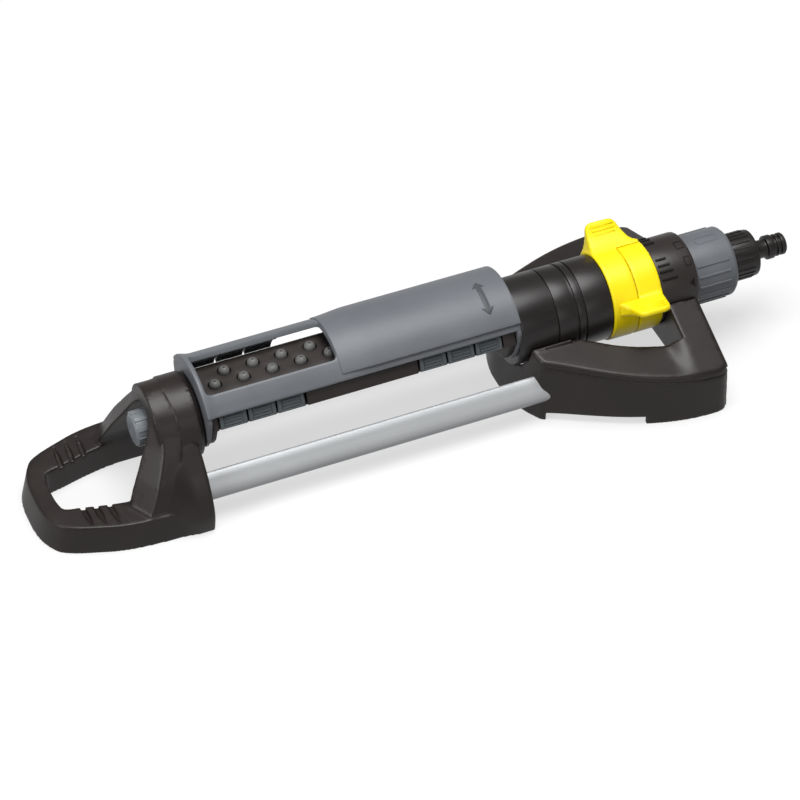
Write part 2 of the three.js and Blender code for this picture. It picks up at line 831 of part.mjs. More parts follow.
function hood() {
  const low = 90 - hoodHalfAngle;
  const high = 90 + hoodHalfAngle;
  const shell = band(hoodLeft, hoodRight, hoodRadius - hoodWall, hoodRadius, low, high, 12);
  const leftCheek = alongX(cheekShape(cheekRadius, 0), hoodLeft, hoodLeft + cheekThickness);
  const rightCheek = alongX(cheekShape(hoodRadius, 0), hoodRight - cheekThickness, hoodRight);
  return cutBy(
    joined(shell, leftCheek, rightCheek),
    windowCut(windowLeft, windowRight, windowBackAngle),
    windowCut(coverWindowLeft, coverWindowRight, windowHalfAngle),
    rod(hoodLeft - 1, hoodRight + 1, tubeRadius + runGap),
  );
}

function splashCover() {
  const shell = turned([
    [coverLeft, coverInner], [coverLeft, coverInner + 0.6], [coverLeft + coverRamp, coverRadius],
    [hoodRight, coverRadius], [hoodRight, coverInner],
  ], 2 * fine);
  return shell.intersect(wedge(coverLeft - 1, hoodRight + 1, 90 - coverHalfAngle, 90 + coverHalfAngle));
}

// ---- Barrel ----

function barrelShell() {
  const body = turned([
    [barrelLeft, tubeRadius + fitGap], [barrelLeft, barrelRadius - 1], [barrelLeft + 1, barrelRadius],
    [barrelRight, barrelRadius], [barrelRight, spigotRadius],
    [barrelRight + spigotLength, spigotRadius], [barrelRight + spigotLength, barrelBore],
    [barrelLeft + barrelEndWall, barrelBore], [barrelLeft + barrelEndWall, tubeRadius + fitGap],
  ], fine);
  return cutBy(
    body,
    ...grooves.map(([x, width]) => ring(x - width / 2, x + width / 2, barrelRadius - grooveDepth, 40, fine)),
    ...cradleScrewX.map((x) => verticalRod(x, 10, axisHeight - 20, screwShank + fitGap)),
  );
}

function tubeSeal() {
  const left = barrelLeft + barrelEndWall + fitGap;
  return ring(left, left + 2, tubeRadius + fitGap, tubeRadius + 2.6);
}

// ---- Gears ----

// A point on an involute at a radius, as the angle from where the involute starts on its base circle.
function involuteAngle(baseRadius, radius) {
  const tangent = Math.sqrt(Math.max(0, (radius / baseRadius) ** 2 - 1));
  return tangent - Math.atan(tangent);
}

// A spur gear outline with one tooth centred on the given angle (degrees).
function gearShape(teeth, toothAngle) {
  const pitch = (gearModule * teeth) / 2;
  const base = pitch * Math.cos(radians(pressureAngle));
  const tip = pitch + toothHeight * gearModule;
  const root = pitch - gearModule;
  const halfAtPitch = Math.PI / (2 * teeth) - gearBacklash / (2 * pitch);
  const halfAt = (radius) =>
    halfAtPitch + involuteAngle(base, pitch) - involuteAngle(base, Math.max(radius, base));
  const flank = [root, pitch, tip];
  const shape = new THREE.Shape();
  for (let k = 0; k < teeth; k += 1) {
    const centre = radians(toothAngle) + (2 * Math.PI * k) / teeth;
    const rising = flank.map((radius) => [radius, centre - halfAt(radius)]);
    const falling = [...flank].reverse().map((radius) => [radius, centre + halfAt(radius)]);
    [...rising, ...falling].forEach(([radius, angle], i) => {
      const point = [radius * Math.cos(angle), radius * Math.sin(angle)];
      if (k === 0 && i === 0) shape.moveTo(...point);
      else shape.lineTo(...point);
    });
  }
  shape.closePath();
  return shape;
}

// The tooth angle that puts a gear in mesh with its driver, along the line of centres from the
// driver to it: a tooth of one faces a gap of the other.
function meshedAngle(driverTeeth, driverAngle, teeth, lineAngle) {
  const driverPhase = (driverTeeth * (lineAngle - driverAngle)) / 360;
  return lineAngle + 180 - (360 / teeth) * (0.5 - driverPhase);
}

const arborPlaces = {
  lower: arborPlace(lowerArborAngle),
  side: arborPlace(sideArborAngle),
};

function arborPlace(angle) {
  return [arborDistance * Math.cos(radians(angle)), arborDistance * Math.sin(radians(angle))];
}

function gearTrainAngles() {
  const output = 0;
  const thirdPinion = meshedAngle(wheelTeeth, output, pinionTeeth, lowerArborAngle);
  const thirdWheel = thirdPinion;
  const lowerToSide = (lowerArborAngle + sideArborAngle) / 2 + 90;
  const secondPinion = meshedAngle(wheelTeeth, thirdWheel, pinionTeeth, lowerToSide);
  const secondWheel = secondPinion;
  const firstPinion = meshedAngle(wheelTeeth, secondWheel, pinionTeeth, lowerToSide + 180);
  const firstWheel = firstPinion;
  const drivePinion = meshedAngle(wheelTeeth, firstWheel, pinionTeeth, lowerArborAngle + 180);
  return { output, third: thirdPinion, second: secondPinion, first: firstPinion, drive: drivePinion };
}

const toothAngles = gearTrainAngles();

function gearBody(teeth, toothAngle, left, right, [y, z]) {
  return alongX(gearShape(teeth, toothAngle), left, right).translate([0, y, z]);
}

function compoundGear(wheelX, angle, place) {
  const pinionLeft = wheelX - gearStep - 0.6;
  return joined(
    gearBody(pinionTeeth, angle, pinionLeft, wheelX + 0.2, place),
    gearBody(wheelTeeth, angle, wheelX, wheelX + gearFace, place),
  ).subtract(rod(pinionLeft - 1, wheelX + gearFace + 1, arborRadius + runGap, small, ...place));
}

function outputGear() {
  return gearBody(wheelTeeth, toothAngles.output, outputGearX, outputGearX + gearFace + 1, [0, 0]).subtract(
    rod(outputGearX - 1, journalEnd, journalRadius + fitGap, coarse),
  );
}

function arbor(place) {
  return rod(outputGearX - 0.6, gearPlateX + gearPlateThickness, arborRadius, small, ...place);
}

function gearPlate() {
  const plate = ring(
    gearPlateX, gearPlateX + gearPlateThickness, shaftRadius + runGap, tripSleeveInner - 0.6,
  );
  const flowHoles = [90, 160, 200].map((angle) =>
    rod(gearPlateX - 1, gearPlateX + gearPlateThickness + 1, 4, small,
      15 * Math.cos(radians(angle)), 15 * Math.sin(radians(angle))),
  );
  const pinHoles = Object.values(arborPlaces).map((place) =>
    rod(gearPlateX - 1, gearPlateX + gearPlateThickness + 1, arborRadius + runGap, small, ...place),
  );
  return cutBy(plate, ...flowHoles, ...pinHoles);
}

// ---- Turbine and its casing ----

const drivePinionX = stages.first - 0.6;

function turbineShaft() {
  return rod(drivePinionX, turbineCasingEnd + 3, shaftRadius, small);
}

function drivePinion() {
  return gearBody(pinionTeeth, toothAngles.drive, drivePinionX, drivePinionX + gearFace + 1.2, [0, 0])
    .subtract(rod(drivePinionX - 1, drivePinionX + gearFace + 3, shaftRadius + runGap, small));
}

function turbineWheel() {
  const hub = ring(turbineX - 3, turbineX + turbineLength, shaftRadius + runGap, turbineHub, small);
  const disc = ring(turbineX, turbineX + 1.5, turbineHub - 0.5, turbineRadius, coarse);
  const blades = Array.from({ length: bladeCount }, (_, k) => {
    const blade = new THREE.BoxGeometry(turbineLength, 1.2, turbineRadius - turbineHub + 0.5);
    blade.translate(0, 0, (turbineRadius + turbineHub) / 2 - 0.25);
    blade.rotateX(radians((360 * k) / bladeCount));
    blade.translate(turbineX + turbineLength / 2, 0, 0);
    return solid(onAxis(blade));
  });
  return joined(hub, disc, ...blades);
}

function turbineCasingBody() {
  const left = gearPlateX + gearPlateThickness + fitGap;
  const cup = turned([
    [left, turbineBore], [left, turbineCasing], [turbineCasingEnd, turbineCasing],
    [turbineCasingEnd, casingBoss], [scaleLeft, casingBoss], [scaleLeft, shaftRadius + runGap],
    [turbineCasingEnd - casingWall, shaftRadius + runGap], [turbineCasingEnd - casingWall, turbineBore],
  ]);
  const jets = jetAngles.map((angle) =>
    rod(turbineCasingEnd - casingWall - 1, turbineCasingEnd + 1, 2.5, 8,
      16 * Math.cos(radians(angle)), 16 * Math.sin(radians(angle))),
  );
  return cutBy(cup, ...jets);
}

// ---- Trip sleeve, trip carrier, range rings and spring ----

function tripSleeve() {
  const left = tubeShoulder + fitGap;
  const flange = 2;
  const sleeve = turned([
    [left, journalRadius + fitGap], [left, tripSleeveOuter], [tripSleeveEnd, tripSleeveOuter],
    [tripSleeveEnd, tripSleeveInner], [left + flange, tripSleeveInner],
    [left + flange, journalRadius + fitGap],
  ]);
  const finger = band(
    tripSleeveEnd - 1, fingerEnd, tripSleeveInner, tripSleeveOuter,
    fingerAngle - fingerHalfAngle, fingerAngle + fingerHalfAngle, 3,
  );
  return joined(sleeve, finger);
}

const lugLeft = (part) => (part.left + part.right) / 2 + 1;

// The carrier turns a few degrees when the finger pushes a lug, and its end disc covers one jet.
function tripCarrier() {
  const cup = turned([
    [carrierLeft, carrierInner], [carrierLeft, spigotRadius], [carrierRight, spigotRadius],
    [carrierRight, casingBoss + fitGap], [carrierRight - carrierWall, casingBoss + fitGap],
    [carrierRight - carrierWall, carrierInner],
  ]);
  const slots = Object.values(rings).map((part) => {
    const ends = part.travel.map((turn) => fingerAngle + part.lug + turn);
    return band(
      lugLeft(part) - 1, lugLeft(part) + lugLength + 1, carrierInner - 1, spigotRadius + 1,
      ends[0] - lugHalfAngle - 2, ends[1] + lugHalfAngle + 2, 12,
    );
  });
  const ports = jetAngles.map((angle) =>
    band(carrierRight - carrierWall - 1, carrierRight + 1, 12, 20, angle - 16, angle + 10, 4),
  );
  return cutBy(cup, ...slots, ...ports);
}

// The lever seen from the side: wide at the ring, narrower at its rounded tip.
function leverOutline(part) {
  const shape = new THREE.Shape();
  shape.moveTo(part.leverLeft, ringRadius - 3);
  shape.lineTo(part.leverLeft + 1, leverTip - 4);
  shape.quadraticCurveTo(part.leverLeft + 1.5, leverTip + 0.5, part.leverLeft + 6, leverTip + 0.5);
  shape.lineTo(part.leverRight - 8, leverTip + 0.5);
  shape.quadraticCurveTo(part.leverRight - 3.5, leverTip, part.leverRight - 3, leverTip - 5);
  shape.lineTo(part.leverRight, ringRadius - 3);
  shape.closePath();
  return solid(onAxis(new THREE.ExtrudeGeometry(shape, { depth: 40, bevelEnabled: false, curveSegments: 5 })
    .translate(0, 0, -20)));
}

function rangeRing(part) {
  const sleeve = ring(part.left, part.right, spigotRadius + fitGap, ringRadius, fine);
  const root = ringRadius - 0.5;
  const lever = new THREE.Shape();
  lever.moveTo(root, -10);
  lever.quadraticCurveTo(ringRadius + 4, -7, leverTip - 2, -4.2);
  lever.quadraticCurveTo(leverTip, -3.6, leverTip, -1.6);
  lever.lineTo(leverTip, 1.6);
  lever.quadraticCurveTo(leverTip, 3.6, leverTip - 2, 4.2);
  lever.quadraticCurveTo(ringRadius + 4, 7, root, 10);
  lever.closePath();
  const paddle = leverOutline(part);
  const arm = turnedAbout(alongX(lever, part.leverLeft, part.leverRight, 5).intersect(paddle), part.lever)
    .subtract(rod(part.left, part.right, ringRadius - 1, fine))
    .subtract(rod(part.left - 20, part.left, ringRadius + fitGap, fine))
    .subtract(rod(part.right, part.right + 20, ringRadius + fitGap, fine));
  const lug = band(
    lugLeft(part), lugLeft(part) + lugLength, tripSleeveInner + fitGap, spigotRadius + 1,
    fingerAngle + part.lug - lugHalfAngle, fingerAngle + part.lug + lugHalfAngle, 3,
  );
  return joined(sleeve, arm, lug);
}

// A body turned about the tube's axis by an angle in degrees.
function turnedAbout(body, angle) {
  return body.translate([0, 0, -axisHeight]).rotate([angle, 0, 0]).translate([0, 0, axisHeight]);
}

function toggleSpring() {
  return band(carrierRight + 0.4, carrierRight + 1.2, 13, 14, 200, 340, 10);
}

// ---- Scale ring, knob and inlet ----

function scaleRing() {
  const web = scaleLeft + fitGap;
  const shell = turned([
    [web, 1.8], [web, scaleRadius], [scaleRight, scaleRadius],
    [scaleRight, inletRadius + fitGap + valveWall + fitGap],
    [scaleRight - 3, inletRadius + fitGap + valveWall + fitGap],
    [scaleRight - 3, scaleRadius - scaleWall], [web + webThickness, scaleRadius - scaleWall],
    [web + webThickness, 1.8],
  ], fine);
  const windows = [45, 135, 225, 315].map((angle) =>
    band(web - 1, web + webThickness + 0.1, 11, 24, angle - 32, angle + 32, 8),
  );
  const ribs = [8, 53, 98, 143].map((angle) =>
    band(web + 2, scaleRight - 2, scaleRadius - 0.5, scaleRadius + 0.7, angle, angle + 3, 1),
  );
  return cutBy(joined(shell, ...ribs), ...windows);
}

function inletBody() {
  const thread = [15, 11, 7].map((step) => threadEnd - step).flatMap((x) => [
    [x, threadRadius], [x + 0.4, threadRadius - 0.7], [x + 1.6, threadRadius - 0.7], [x + 2, threadRadius],
  ]);
  const pipe = turned([
    [inletLeft, 0.5], [inletLeft, inletRadius], [knobRight, inletRadius], [knobRight + 2, threadRadius],
    ...thread, [threadEnd, threadRadius], [threadEnd, inletBore], [inletLeft + 3, inletBore],
    [inletLeft + 3, 0.5],
  ]);
  return cutBy(joined(pipe, rod(inletLeft, inletLeft + 3, 1, small)), ...ports(portRadius));
}

function ports(radius) {
  return [0, 90].map((angle) => {
    const geometry = new THREE.CylinderGeometry(radius, radius, 60, 8);
    geometry.rotateX(radians(angle));
    geometry.translate(portX, 0, 0);
    return solid(onAxis(geometry));
  });
}

function valveSleeve() {
  const inner = inletRadius + fitGap;
  return cutBy(ring(inletLeft + 3, knobRight - 4, inner, inner + valveWall), ...ports(portRadius));
}

function flowKnob() {
  const bore = inletRadius + 2 * fitGap + valveWall;
  const shell = turned([
    [knobLeft, knobRadius - knobWall], [knobLeft, knobRadius - 0.8], [knobLeft + 1, knobRadius],
    [knobRight - 1.5, knobRadius], [knobRight, knobRadius - 1.5], [knobRight, bore],
    [knobRight - 4, bore], [knobRight - 4, knobRadius - knobWall],
  ], 36);
  const flutes = Array.from({ length: 12 }, (_, k) =>
    rod(knobLeft + 5, knobRight + 1, 4, small,
      (knobRadius + 3.2) * Math.cos(radians(30 * k)), (knobRadius + 3.2) * Math.sin(radians(30 * k))),
  );
  return cutBy(shell, ...flutes);
}

function hoseConnector() {
  const cavity = threadRadius + fitGap;
  const neck = 6.6;
  const flange = 8.7;
  const body = turned([
    [nutLeft, cavity], [nutLeft, nutRadius], [nutRight, nutRadius], [nutShoulder, nutRadius - 5],
    [nutShoulder, neck], [noseEnd - 15, neck], [noseEnd - 15, flange], [noseEnd - 9.5, flange],
    [noseEnd - 9.5, neck], [noseEnd - 7.5, neck], [noseEnd - 7.5, noseRadius],
    [noseEnd - 5.7, noseRadius], [noseEnd - 5.7, neck], [noseEnd - 3.9, neck], [noseEnd - 3.9, noseRadius],
    [noseEnd - 0.8, noseRadius], [noseEnd, noseRadius - 0.8], [noseEnd, noseBore],
    [nutRight - 0.3, noseBore], [nutRight - 0.3, cavity],
  ]);
  const ribs = Array.from({ length: 10 }, (_, k) =>
    band(nutLeft + 2, nutRight - 1, nutRadius - 0.9, nutRadius + 2, 36 * k, 36 * k + 12, 1),
  );
  return cutBy(body, ...ribs);
}

function connectorWasher() {
  return ring(threadEnd + 0.2, nutRight - 0.5, noseBore + 2, threadRadius - 0.4, coarse);
}

function inletFilter() {
  const left = threadEnd - 14;
  return turned([
    [left, 0.01], [left, 6], [threadEnd - 1.5, inletBore - 0.9], [threadEnd - 1.5, inletBore - fitGap],
    [threadEnd - 0.3, inletBore - fitGap], [threadEnd - 0.3, inletBore - 1.9], [left + 1.2, 5],
    [left + 1.2, 0.01],
  ], coarse).add(rod(left, left + 1.2, 1, 8));
}

// ---- Assembly ----

const finishes = {
  darkPlastic: { color: 0x2b2725, roughness: 0.45, metalness: 0 },
  greyPlastic: { color: 0x7d8184, roughness: 0.4, metalness: 0 },
  tabPlastic: { color: 0x4f5456, roughness: 0.5, metalness: 0 },
  yellowPlastic: { color: 0xf4d800, roughness: 0.4, metalness: 0 },
  whitePlastic: { color: 0xd8d6cc, roughness: 0.5, metalness: 0 },
  aluminium: { color: 0xb9bec0, roughness: 0.3, metalness: 0.9 },
  steel: { color: 0x9a9da0, roughness: 0.3, metalness: 1 },
  rubber: { color: 0x3a3a3a, roughness: 0.8, metalness: 0 },
  nozzleRubber: { color: 0x6e6f70, roughness: 0.7, metalness: 0 },
};

const sprinkler = new THREE.Group();
sprinkler.position.x = -centreX;

function place(name, body, finish) {
  const mesh = new THREE.Mesh(geometryOf(body), new THREE.MeshStandardMaterial(finishes[finish]));
  mesh.name = name;
  sprinkler.add(mesh);
}

place("left_foot", leftFoot(), "darkPlastic");
place("right_foot", rightFoot(), "darkPlastic");
place("front_spar", spar(), "aluminium");
place("rear_spar", mirroredBack(spar()), "aluminium");
Object.entries(sparScrewX).forEach(([end, x]) => {
  place(`spar_screw_front_${end}`, sparScrew(x), "steel");
  place(`spar_screw_rear_${end}`, mirroredBack(sparScrew(x)), "steel");
});
cradleScrewX.forEach((x, i) => place(`cradle_screw_${i + 1}`, cradleScrew(x), "steel"));

place("tube_bush", bearingBush(), "whitePlastic");
place("spray_tube", sprayTube(), "aluminium");
place("nozzle_tray", nozzleTray(), "darkPlastic");
place("nozzle_strip_front", nozzleStrip(-1, 0), "nozzleRubber");
place("nozzle_strip_rear", nozzleStrip(1, rowStagger), "nozzleRubber");
place("hood", hood(), "greyPlastic");
place("splash_cover", splashCover(), "greyPlastic");
place("end_plug", endPlug(), "greyPlastic");
place("plug_seal", plugSeal(), "rubber");
Object.entries(tabGroups).forEach(([end, centre]) => {
  [0, 1, 2].forEach((k) => {
    const body = tab(centre + k * nozzlePitch - tabLength / 2);
    place(`tab_front_${end}_${k + 1}`, body, "tabPlastic");
    place(`tab_rear_${end}_${k + 1}`, mirroredBack(body), "tabPlastic");
  });
});

place("barrel_shell", barrelShell(), "darkPlastic");
place("tube_seal", tubeSeal(), "rubber");
place("trip_sleeve", tripSleeve(), "whitePlastic");
place("output_gear", outputGear(), "whitePlastic");
place("gear_third", compoundGear(stages.third, toothAngles.third, arborPlaces.lower), "whitePlastic");
place("gear_second", compoundGear(stages.second, toothAngles.second, arborPlaces.side), "whitePlastic");
place("gear_first", compoundGear(stages.first, toothAngles.first, arborPlaces.lower), "whitePlastic");
place("arbor_lower", arbor(arborPlaces.lower), "steel");
place("arbor_side", arbor(arborPlaces.side), "steel");
place("gear_plate", gearPlate(), "whitePlastic");
place("drive_pinion", drivePinion(), "whitePlastic");
place("turbine_shaft", turbineShaft(), "steel");
place("turbine_wheel", turbineWheel(), "whitePlastic");
place("turbine_casing", turbineCasingBody(), "darkPlastic");
place("trip_carrier", tripCarrier(), "whitePlastic");
place("toggle_spring", toggleSpring(), "steel");
place("range_ring_back", rangeRing(rings.back), "yellowPlastic");
place("range_ring_front", rangeRing(rings.front), "yellowPlastic");

place("scale_ring", scaleRing(), "darkPlastic");
place("inlet_body", inletBody(), "darkPlastic");
place("valve_sleeve", valveSleeve(), "whitePlastic");
place("flow_knob", flowKnob(), "greyPlastic");
place("hose_connector", hoseConnector(), "darkPlastic");
place("connector_washer", connectorWasher(), "rubber");
place("inlet_filter", inletFilter(), "whitePlastic");

export default sprinkler;
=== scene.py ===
import math

import bmesh
import bpy
import numpy as np
import openvdb as vdb
from mathutils import Matrix, Vector, geometry


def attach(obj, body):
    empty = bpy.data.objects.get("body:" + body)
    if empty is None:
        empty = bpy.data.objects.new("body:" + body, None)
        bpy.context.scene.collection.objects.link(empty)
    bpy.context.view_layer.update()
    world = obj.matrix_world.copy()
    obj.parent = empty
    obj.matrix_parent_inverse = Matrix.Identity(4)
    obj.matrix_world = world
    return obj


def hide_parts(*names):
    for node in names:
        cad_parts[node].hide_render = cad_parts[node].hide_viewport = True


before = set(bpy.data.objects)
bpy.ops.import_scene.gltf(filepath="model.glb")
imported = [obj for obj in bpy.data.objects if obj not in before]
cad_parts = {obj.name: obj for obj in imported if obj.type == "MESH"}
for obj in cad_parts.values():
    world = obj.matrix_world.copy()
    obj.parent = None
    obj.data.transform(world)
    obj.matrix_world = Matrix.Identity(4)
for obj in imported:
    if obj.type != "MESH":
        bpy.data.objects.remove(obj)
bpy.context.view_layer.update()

# Sizes are in millimetres. X runs along the tube from the left foot to the inlet; -Y is the front.
lay = {"middle": 11.75, "axis": 58.0}  # the row's frame starts at the middle of the sprinkler


def place(x, y, z):
    return ((x - lay["middle"]) / 1000, y / 1000, z / 1000)


def colour(code):  # a written colour as Blender's linear values
    parts = [int(code[i:i + 2], 16) / 255 for i in (1, 3, 5)]
    return tuple(c / 12.92 if c <= 0.04045 else ((c + 0.055) / 1.055) ** 2.4 for c in parts) + (1.0,)


class Num:
    # a number that differs over a surface, worked out with + - * and a few functions
    def __init__(self, finish, socket):
        self.finish = finish
        self.socket = socket

    def math(self, operation, *others):
        values = {0: self}
        values.update({i + 1: other for i, other in enumerate(others)})
        return self.finish.node("ShaderNodeMath", {"operation": operation}, values).num()

    def __add__(self, other):
        return self.math("ADD", other)

    __radd__ = __add__

    def __sub__(self, other):
        return self.math("SUBTRACT", other)

    def __rsub__(self, other):
        return self.math("MULTIPLY", -1.0).math("ADD", other)

    def __mul__(self, other):
        return self.math("MULTIPLY", other)

    __rmul__ = __mul__

    def spread(self, low, high):  # low..high becomes 0..1
        values = {"Value": self, "From Min": low, "From Max": high}
        return self.finish.node("ShaderNodeMapRange", {"clamp": True}, values).num("Result")


class Step:
    # one node, with its outputs as numbers or links
    def __init__(self, finish, made):
        self.finish = finish
        self.made = made

    def out(self, name=0):
        return self.made.outputs[name]

    def num(self, name=0):
        return Num(self.finish, self.out(name))


class Finish:
    # a material that is put together node by node
    def __init__(self, name):
        self.material = bpy.data.materials.new(name)
        self.material.use_nodes = True
        self.tree = self.material.node_tree
        self.tree.nodes.clear()
        self.place = self.node("ShaderNodeTexCoord").out("Object")

    def node(self, kind, settings=None, values=None):
        made = self.tree.nodes.new(kind)
        for name, value in (settings or {}).items():
            setattr(made, name, value)
        for name, value in (values or {}).items():
            if isinstance(value, Num):
                value = value.socket
            if isinstance(value, bpy.types.NodeSocket):
                self.tree.links.new(value, made.inputs[name])
            else:
                made.inputs[name].default_value = value
        return Step(self, made)

    def noise(self, scale, detail=2.0, stretch=(1, 1, 1)):
        spot = self.place
        if stretch != (1, 1, 1):
            spot = self.node("ShaderNodeMapping", None, {"Vector": spot, "Scale": stretch}).out()
        values = {"Vector": spot, "Scale": scale, "Detail": detail, "Roughness": 0.55}
        return self.node("ShaderNodeTexNoise", {"noise_dimensions": "3D"}, values).num("Fac")

    def mix(self, share, first, second):  # sockets 6, 7 and out 2 are the ones for colours
        return self.node("ShaderNodeMix", {"data_type": "RGBA"}, {0: share, 6: first, 7: second}).out(2)

    def bump(self, height, strength, distance):
        values = {"Height": height, "Strength": strength, "Distance": distance}
        return self.node("ShaderNodeBump", None, values).out()

    def surface(self, values):
        shader = self.node("ShaderNodeBsdfPrincipled", None, values)
        self.node("ShaderNodeOutputMaterial", None, {"Surface": shader.out()})
        return self.material


# Moulded plastic: a fine sparkle of grain, faint flow clouds and a little unevenness in the gloss
plastics = {  # worn is the colour of the clouds and scuffs
    "dark_plastic": {"base": "#1e1715", "worn": "#28201d", "rough": 0.40, "grain": 0.10, "specular": 0.45},
    "barrel_plastic": {"base": "#1a1615", "worn": "#241f1e", "rough": 0.34, "grain": 0.06, "specular": 0.5},
    "scale_plastic": {"base": "#282220", "worn": "#322b29", "rough": 0.38, "grain": 0.06, "specular": 0.5},
    "grey_plastic": {"base": "#66696e", "worn": "#707378", "rough": 0.42, "grain": 0.07, "specular": 0.4},
    "connector_plastic": {"base": "#767b80", "worn": "#81868b", "rough": 0.44, "grain": 0.07,
                          "specular": 0.4},
    "tab_plastic": {"base": "#555b5e", "worn": "#606669", "rough": 0.46, "grain": 0.08, "specular": 0.4},
    "yellow_plastic": {"base": "#ffe400", "worn": "#ffea1c", "rough": 0.38, "grain": 0.05, "specular": 0.4},
    "white_plastic": {"base": "#dedcd5", "worn": "#e8e6e0", "rough": 0.45, "grain": 0.05, "specular": 0.4},
    "seal_rubber": {"base": "#1c1b1b", "worn": "#262525", "rough": 0.70, "grain": 0.10, "specular": 0.3},
    "nozzle_rubber": {"base": "#646463", "worn": "#70706f", "rough": 0.42, "grain": 0.12, "specular": 0.35},
    "tray_plastic": {"base": "#2d2826", "worn": "#37312f", "rough": 0.50, "grain": 0.10, "specular": 0.35},
    "arrow_plastic": {"base": "#474a4d", "worn": "#4f5255", "rough": 0.44, "grain": 0.05, "specular": 0.35},
    # near black: print on the scale ring's two squares, painted shade on its ticks, teeth and mark
    "ink_and_painted_shade": {"base": "#0b0908", "worn": "#120f0e", "rough": 0.55, "grain": 0.04, "specular": 0.25},
}


def plasticFinish(name, look):
    finish = Finish(name)
    clouds = finish.noise(28.0, 3.0).spread(0.35, 0.65)
    grain = finish.noise(2600.0, 2.0)
    scuffs = finish.noise(240.0, 4.0, (0.25, 1, 1)).spread(0.56, 0.74)
    tint = finish.mix(clouds * 0.55 + scuffs * 0.2, colour(look["base"]), colour(look["worn"]))
    rough = look["rough"] + (clouds - 0.5) * 0.05 + scuffs * 0.05 + (grain - 0.5) * 0.08
    return finish.surface({
        "Base Color": tint,
        "Roughness": rough,
        "Specular IOR Level": look["specular"],
        "Normal": finish.bump(grain, look["grain"], 0.0002),
    })


def sparFinish(name):  # silver anodised aluminium, drawn lengthways
    finish = Finish(name)
    lines = finish.noise(900.0, 3.0, (0.012, 1, 1))
    clouds = finish.noise(16.0, 2.0).spread(0.3, 0.7)
    tint = finish.mix(lines * 0.6 + clouds * 0.3, colour("#b4b7b9"), colour("#c6c8ca"))
    return finish.surface({
        "Base Color": tint,
        "Metallic": 0.25,
        "Roughness": 0.40 + (lines - 0.5) * 0.14,
        "Normal": finish.bump(lines, 0.08, 0.0001),
    })


def steelFinish(name):
    finish = Finish(name)
    lines = finish.noise(1400.0, 2.0, (0.1, 1, 1))
    tint = finish.mix(lines, colour("#b3b2b0"), colour("#cfcecb"))
    return finish.surface({
        "Base Color": tint,
        "Metallic": 1.0,
        "Roughness": 0.30 + (lines - 0.5) * 0.12,
        "Normal": finish.bump(lines, 0.05, 0.0001),
    })


materials = {name: plasticFinish(name, look) for name, look in plastics.items()}
materials["spar_aluminium"] = sparFinish("spar_aluminium")
materials["steel"] = steelFinish("steel")
print("materials:", len(materials))


# gives a mesh its finish, body and slot; sharp is the angle above which an edge stays crisp
def finishPiece(mesh, name, body, look, hides=(), sharp=35):
    piece = bpy.data.objects.new(name, mesh)
    bpy.context.scene.collection.objects.link(piece)
    mesh.materials.clear()
    mesh.materials.append(materials[look])
    mesh.polygons.foreach_set("use_smooth", [True] * len(mesh.polygons))
    if sharp is not None:
        mesh.set_sharp_from_angle(angle=math.radians(sharp))
    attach(piece, body)
    if hides:
        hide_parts(*hides)
    return piece


def meshOf(name, points, faces):
    mesh = bpy.data.meshes.new(name)
    mesh.from_pydata([place(*p) for p in points], [], faces)
    mesh.validate()
    mesh.update()
    return mesh


def outwards(mesh):  # merges doubles, then turns every face outwards
    work = bmesh.new()
    work.from_mesh(mesh)
    bmesh.ops.remove_doubles(work, verts=work.verts, dist=1e-6)
    bmesh.ops.recalc_face_normals(work, faces=work.faces)
    work.to_mesh(mesh)
    work.free()
    return mesh


def joinedMesh(name, meshes):
    work = bmesh.new()
    for mesh in meshes:
        work.from_mesh(mesh)
    joined = bpy.data.meshes.new(name)
    work.to_mesh(joined)
    work.free()
    return joined


# a closed profile with its corners rounded, by one radius or by one for each corner
def rounded(points, radius, steps=4):
    out = []
    count = len(points)
    straight = math.radians(176)
    for i, point in enumerate(points):
        reach = radius[i] if isinstance(radius, (list, tuple)) else radius
        here = Vector(point)
        before = Vector(points[i - 1]) - here
        after = Vector(points[(i + 1) % count]) - here
        angle = before.angle(after, math.pi)
        if reach <= 0 or angle > straight:
            out.append(tuple(here))
            continue
        cut = min(reach / math.tan(angle / 2), 0.45 * before.length, 0.45 * after.length)
        true = cut * math.tan(angle / 2)
        start = here + before.normalized() * cut
        end = here + after.normalized() * cut
        centre = here + (before.normalized() + after.normalized()).normalized() * (true / math.sin(angle / 2))
        first = start - centre
        sweep = first.angle_signed(end - centre, 0.0)
        for k in range(steps + 1):
            turn = -sweep * k / steps
            cos, sin = math.cos(turn), math.sin(turn)
            out.append((centre.x + first.x * cos - first.y * sin, centre.y + first.x * sin + first.y * cos))
    return out


# a closed profile of (x, radius) turned about the tube's axis
def turned(name, profile, segments=96):
    points, faces = [], []
    count = len(profile)
    for k in range(segments):
        angle = 2 * math.pi * k / segments
        for x, radius in profile:
            points.append((x, radius * math.cos(angle), lay["axis"] + radius * math.sin(angle)))
    for k in range(segments):
        following = (k + 1) % segments
        for i in range(count):
            j = (i + 1) % count
            faces.append((k * count + i, k * count + j, following * count + j, following * count + i))
    return outwards(meshOf(name, points, faces))


# Both feet and the range rings are distance fields, below zero inside, that are turned into meshes.
def roundAnd(a, b, radius):  # the overlap of two shapes, its edge rounded
    near = np.minimum(np.maximum(a, b), -radius)
    return near + np.sqrt(np.maximum(a + radius, 0) ** 2 + np.maximum(b + radius, 0) ** 2)


def roundOr(a, b, radius):  # two shapes joined, with a fillet between them
    near = np.maximum(np.minimum(a, b), radius)
    return near - np.sqrt(np.maximum(radius - a, 0) ** 2 + np.maximum(radius - b, 0) ** 2)


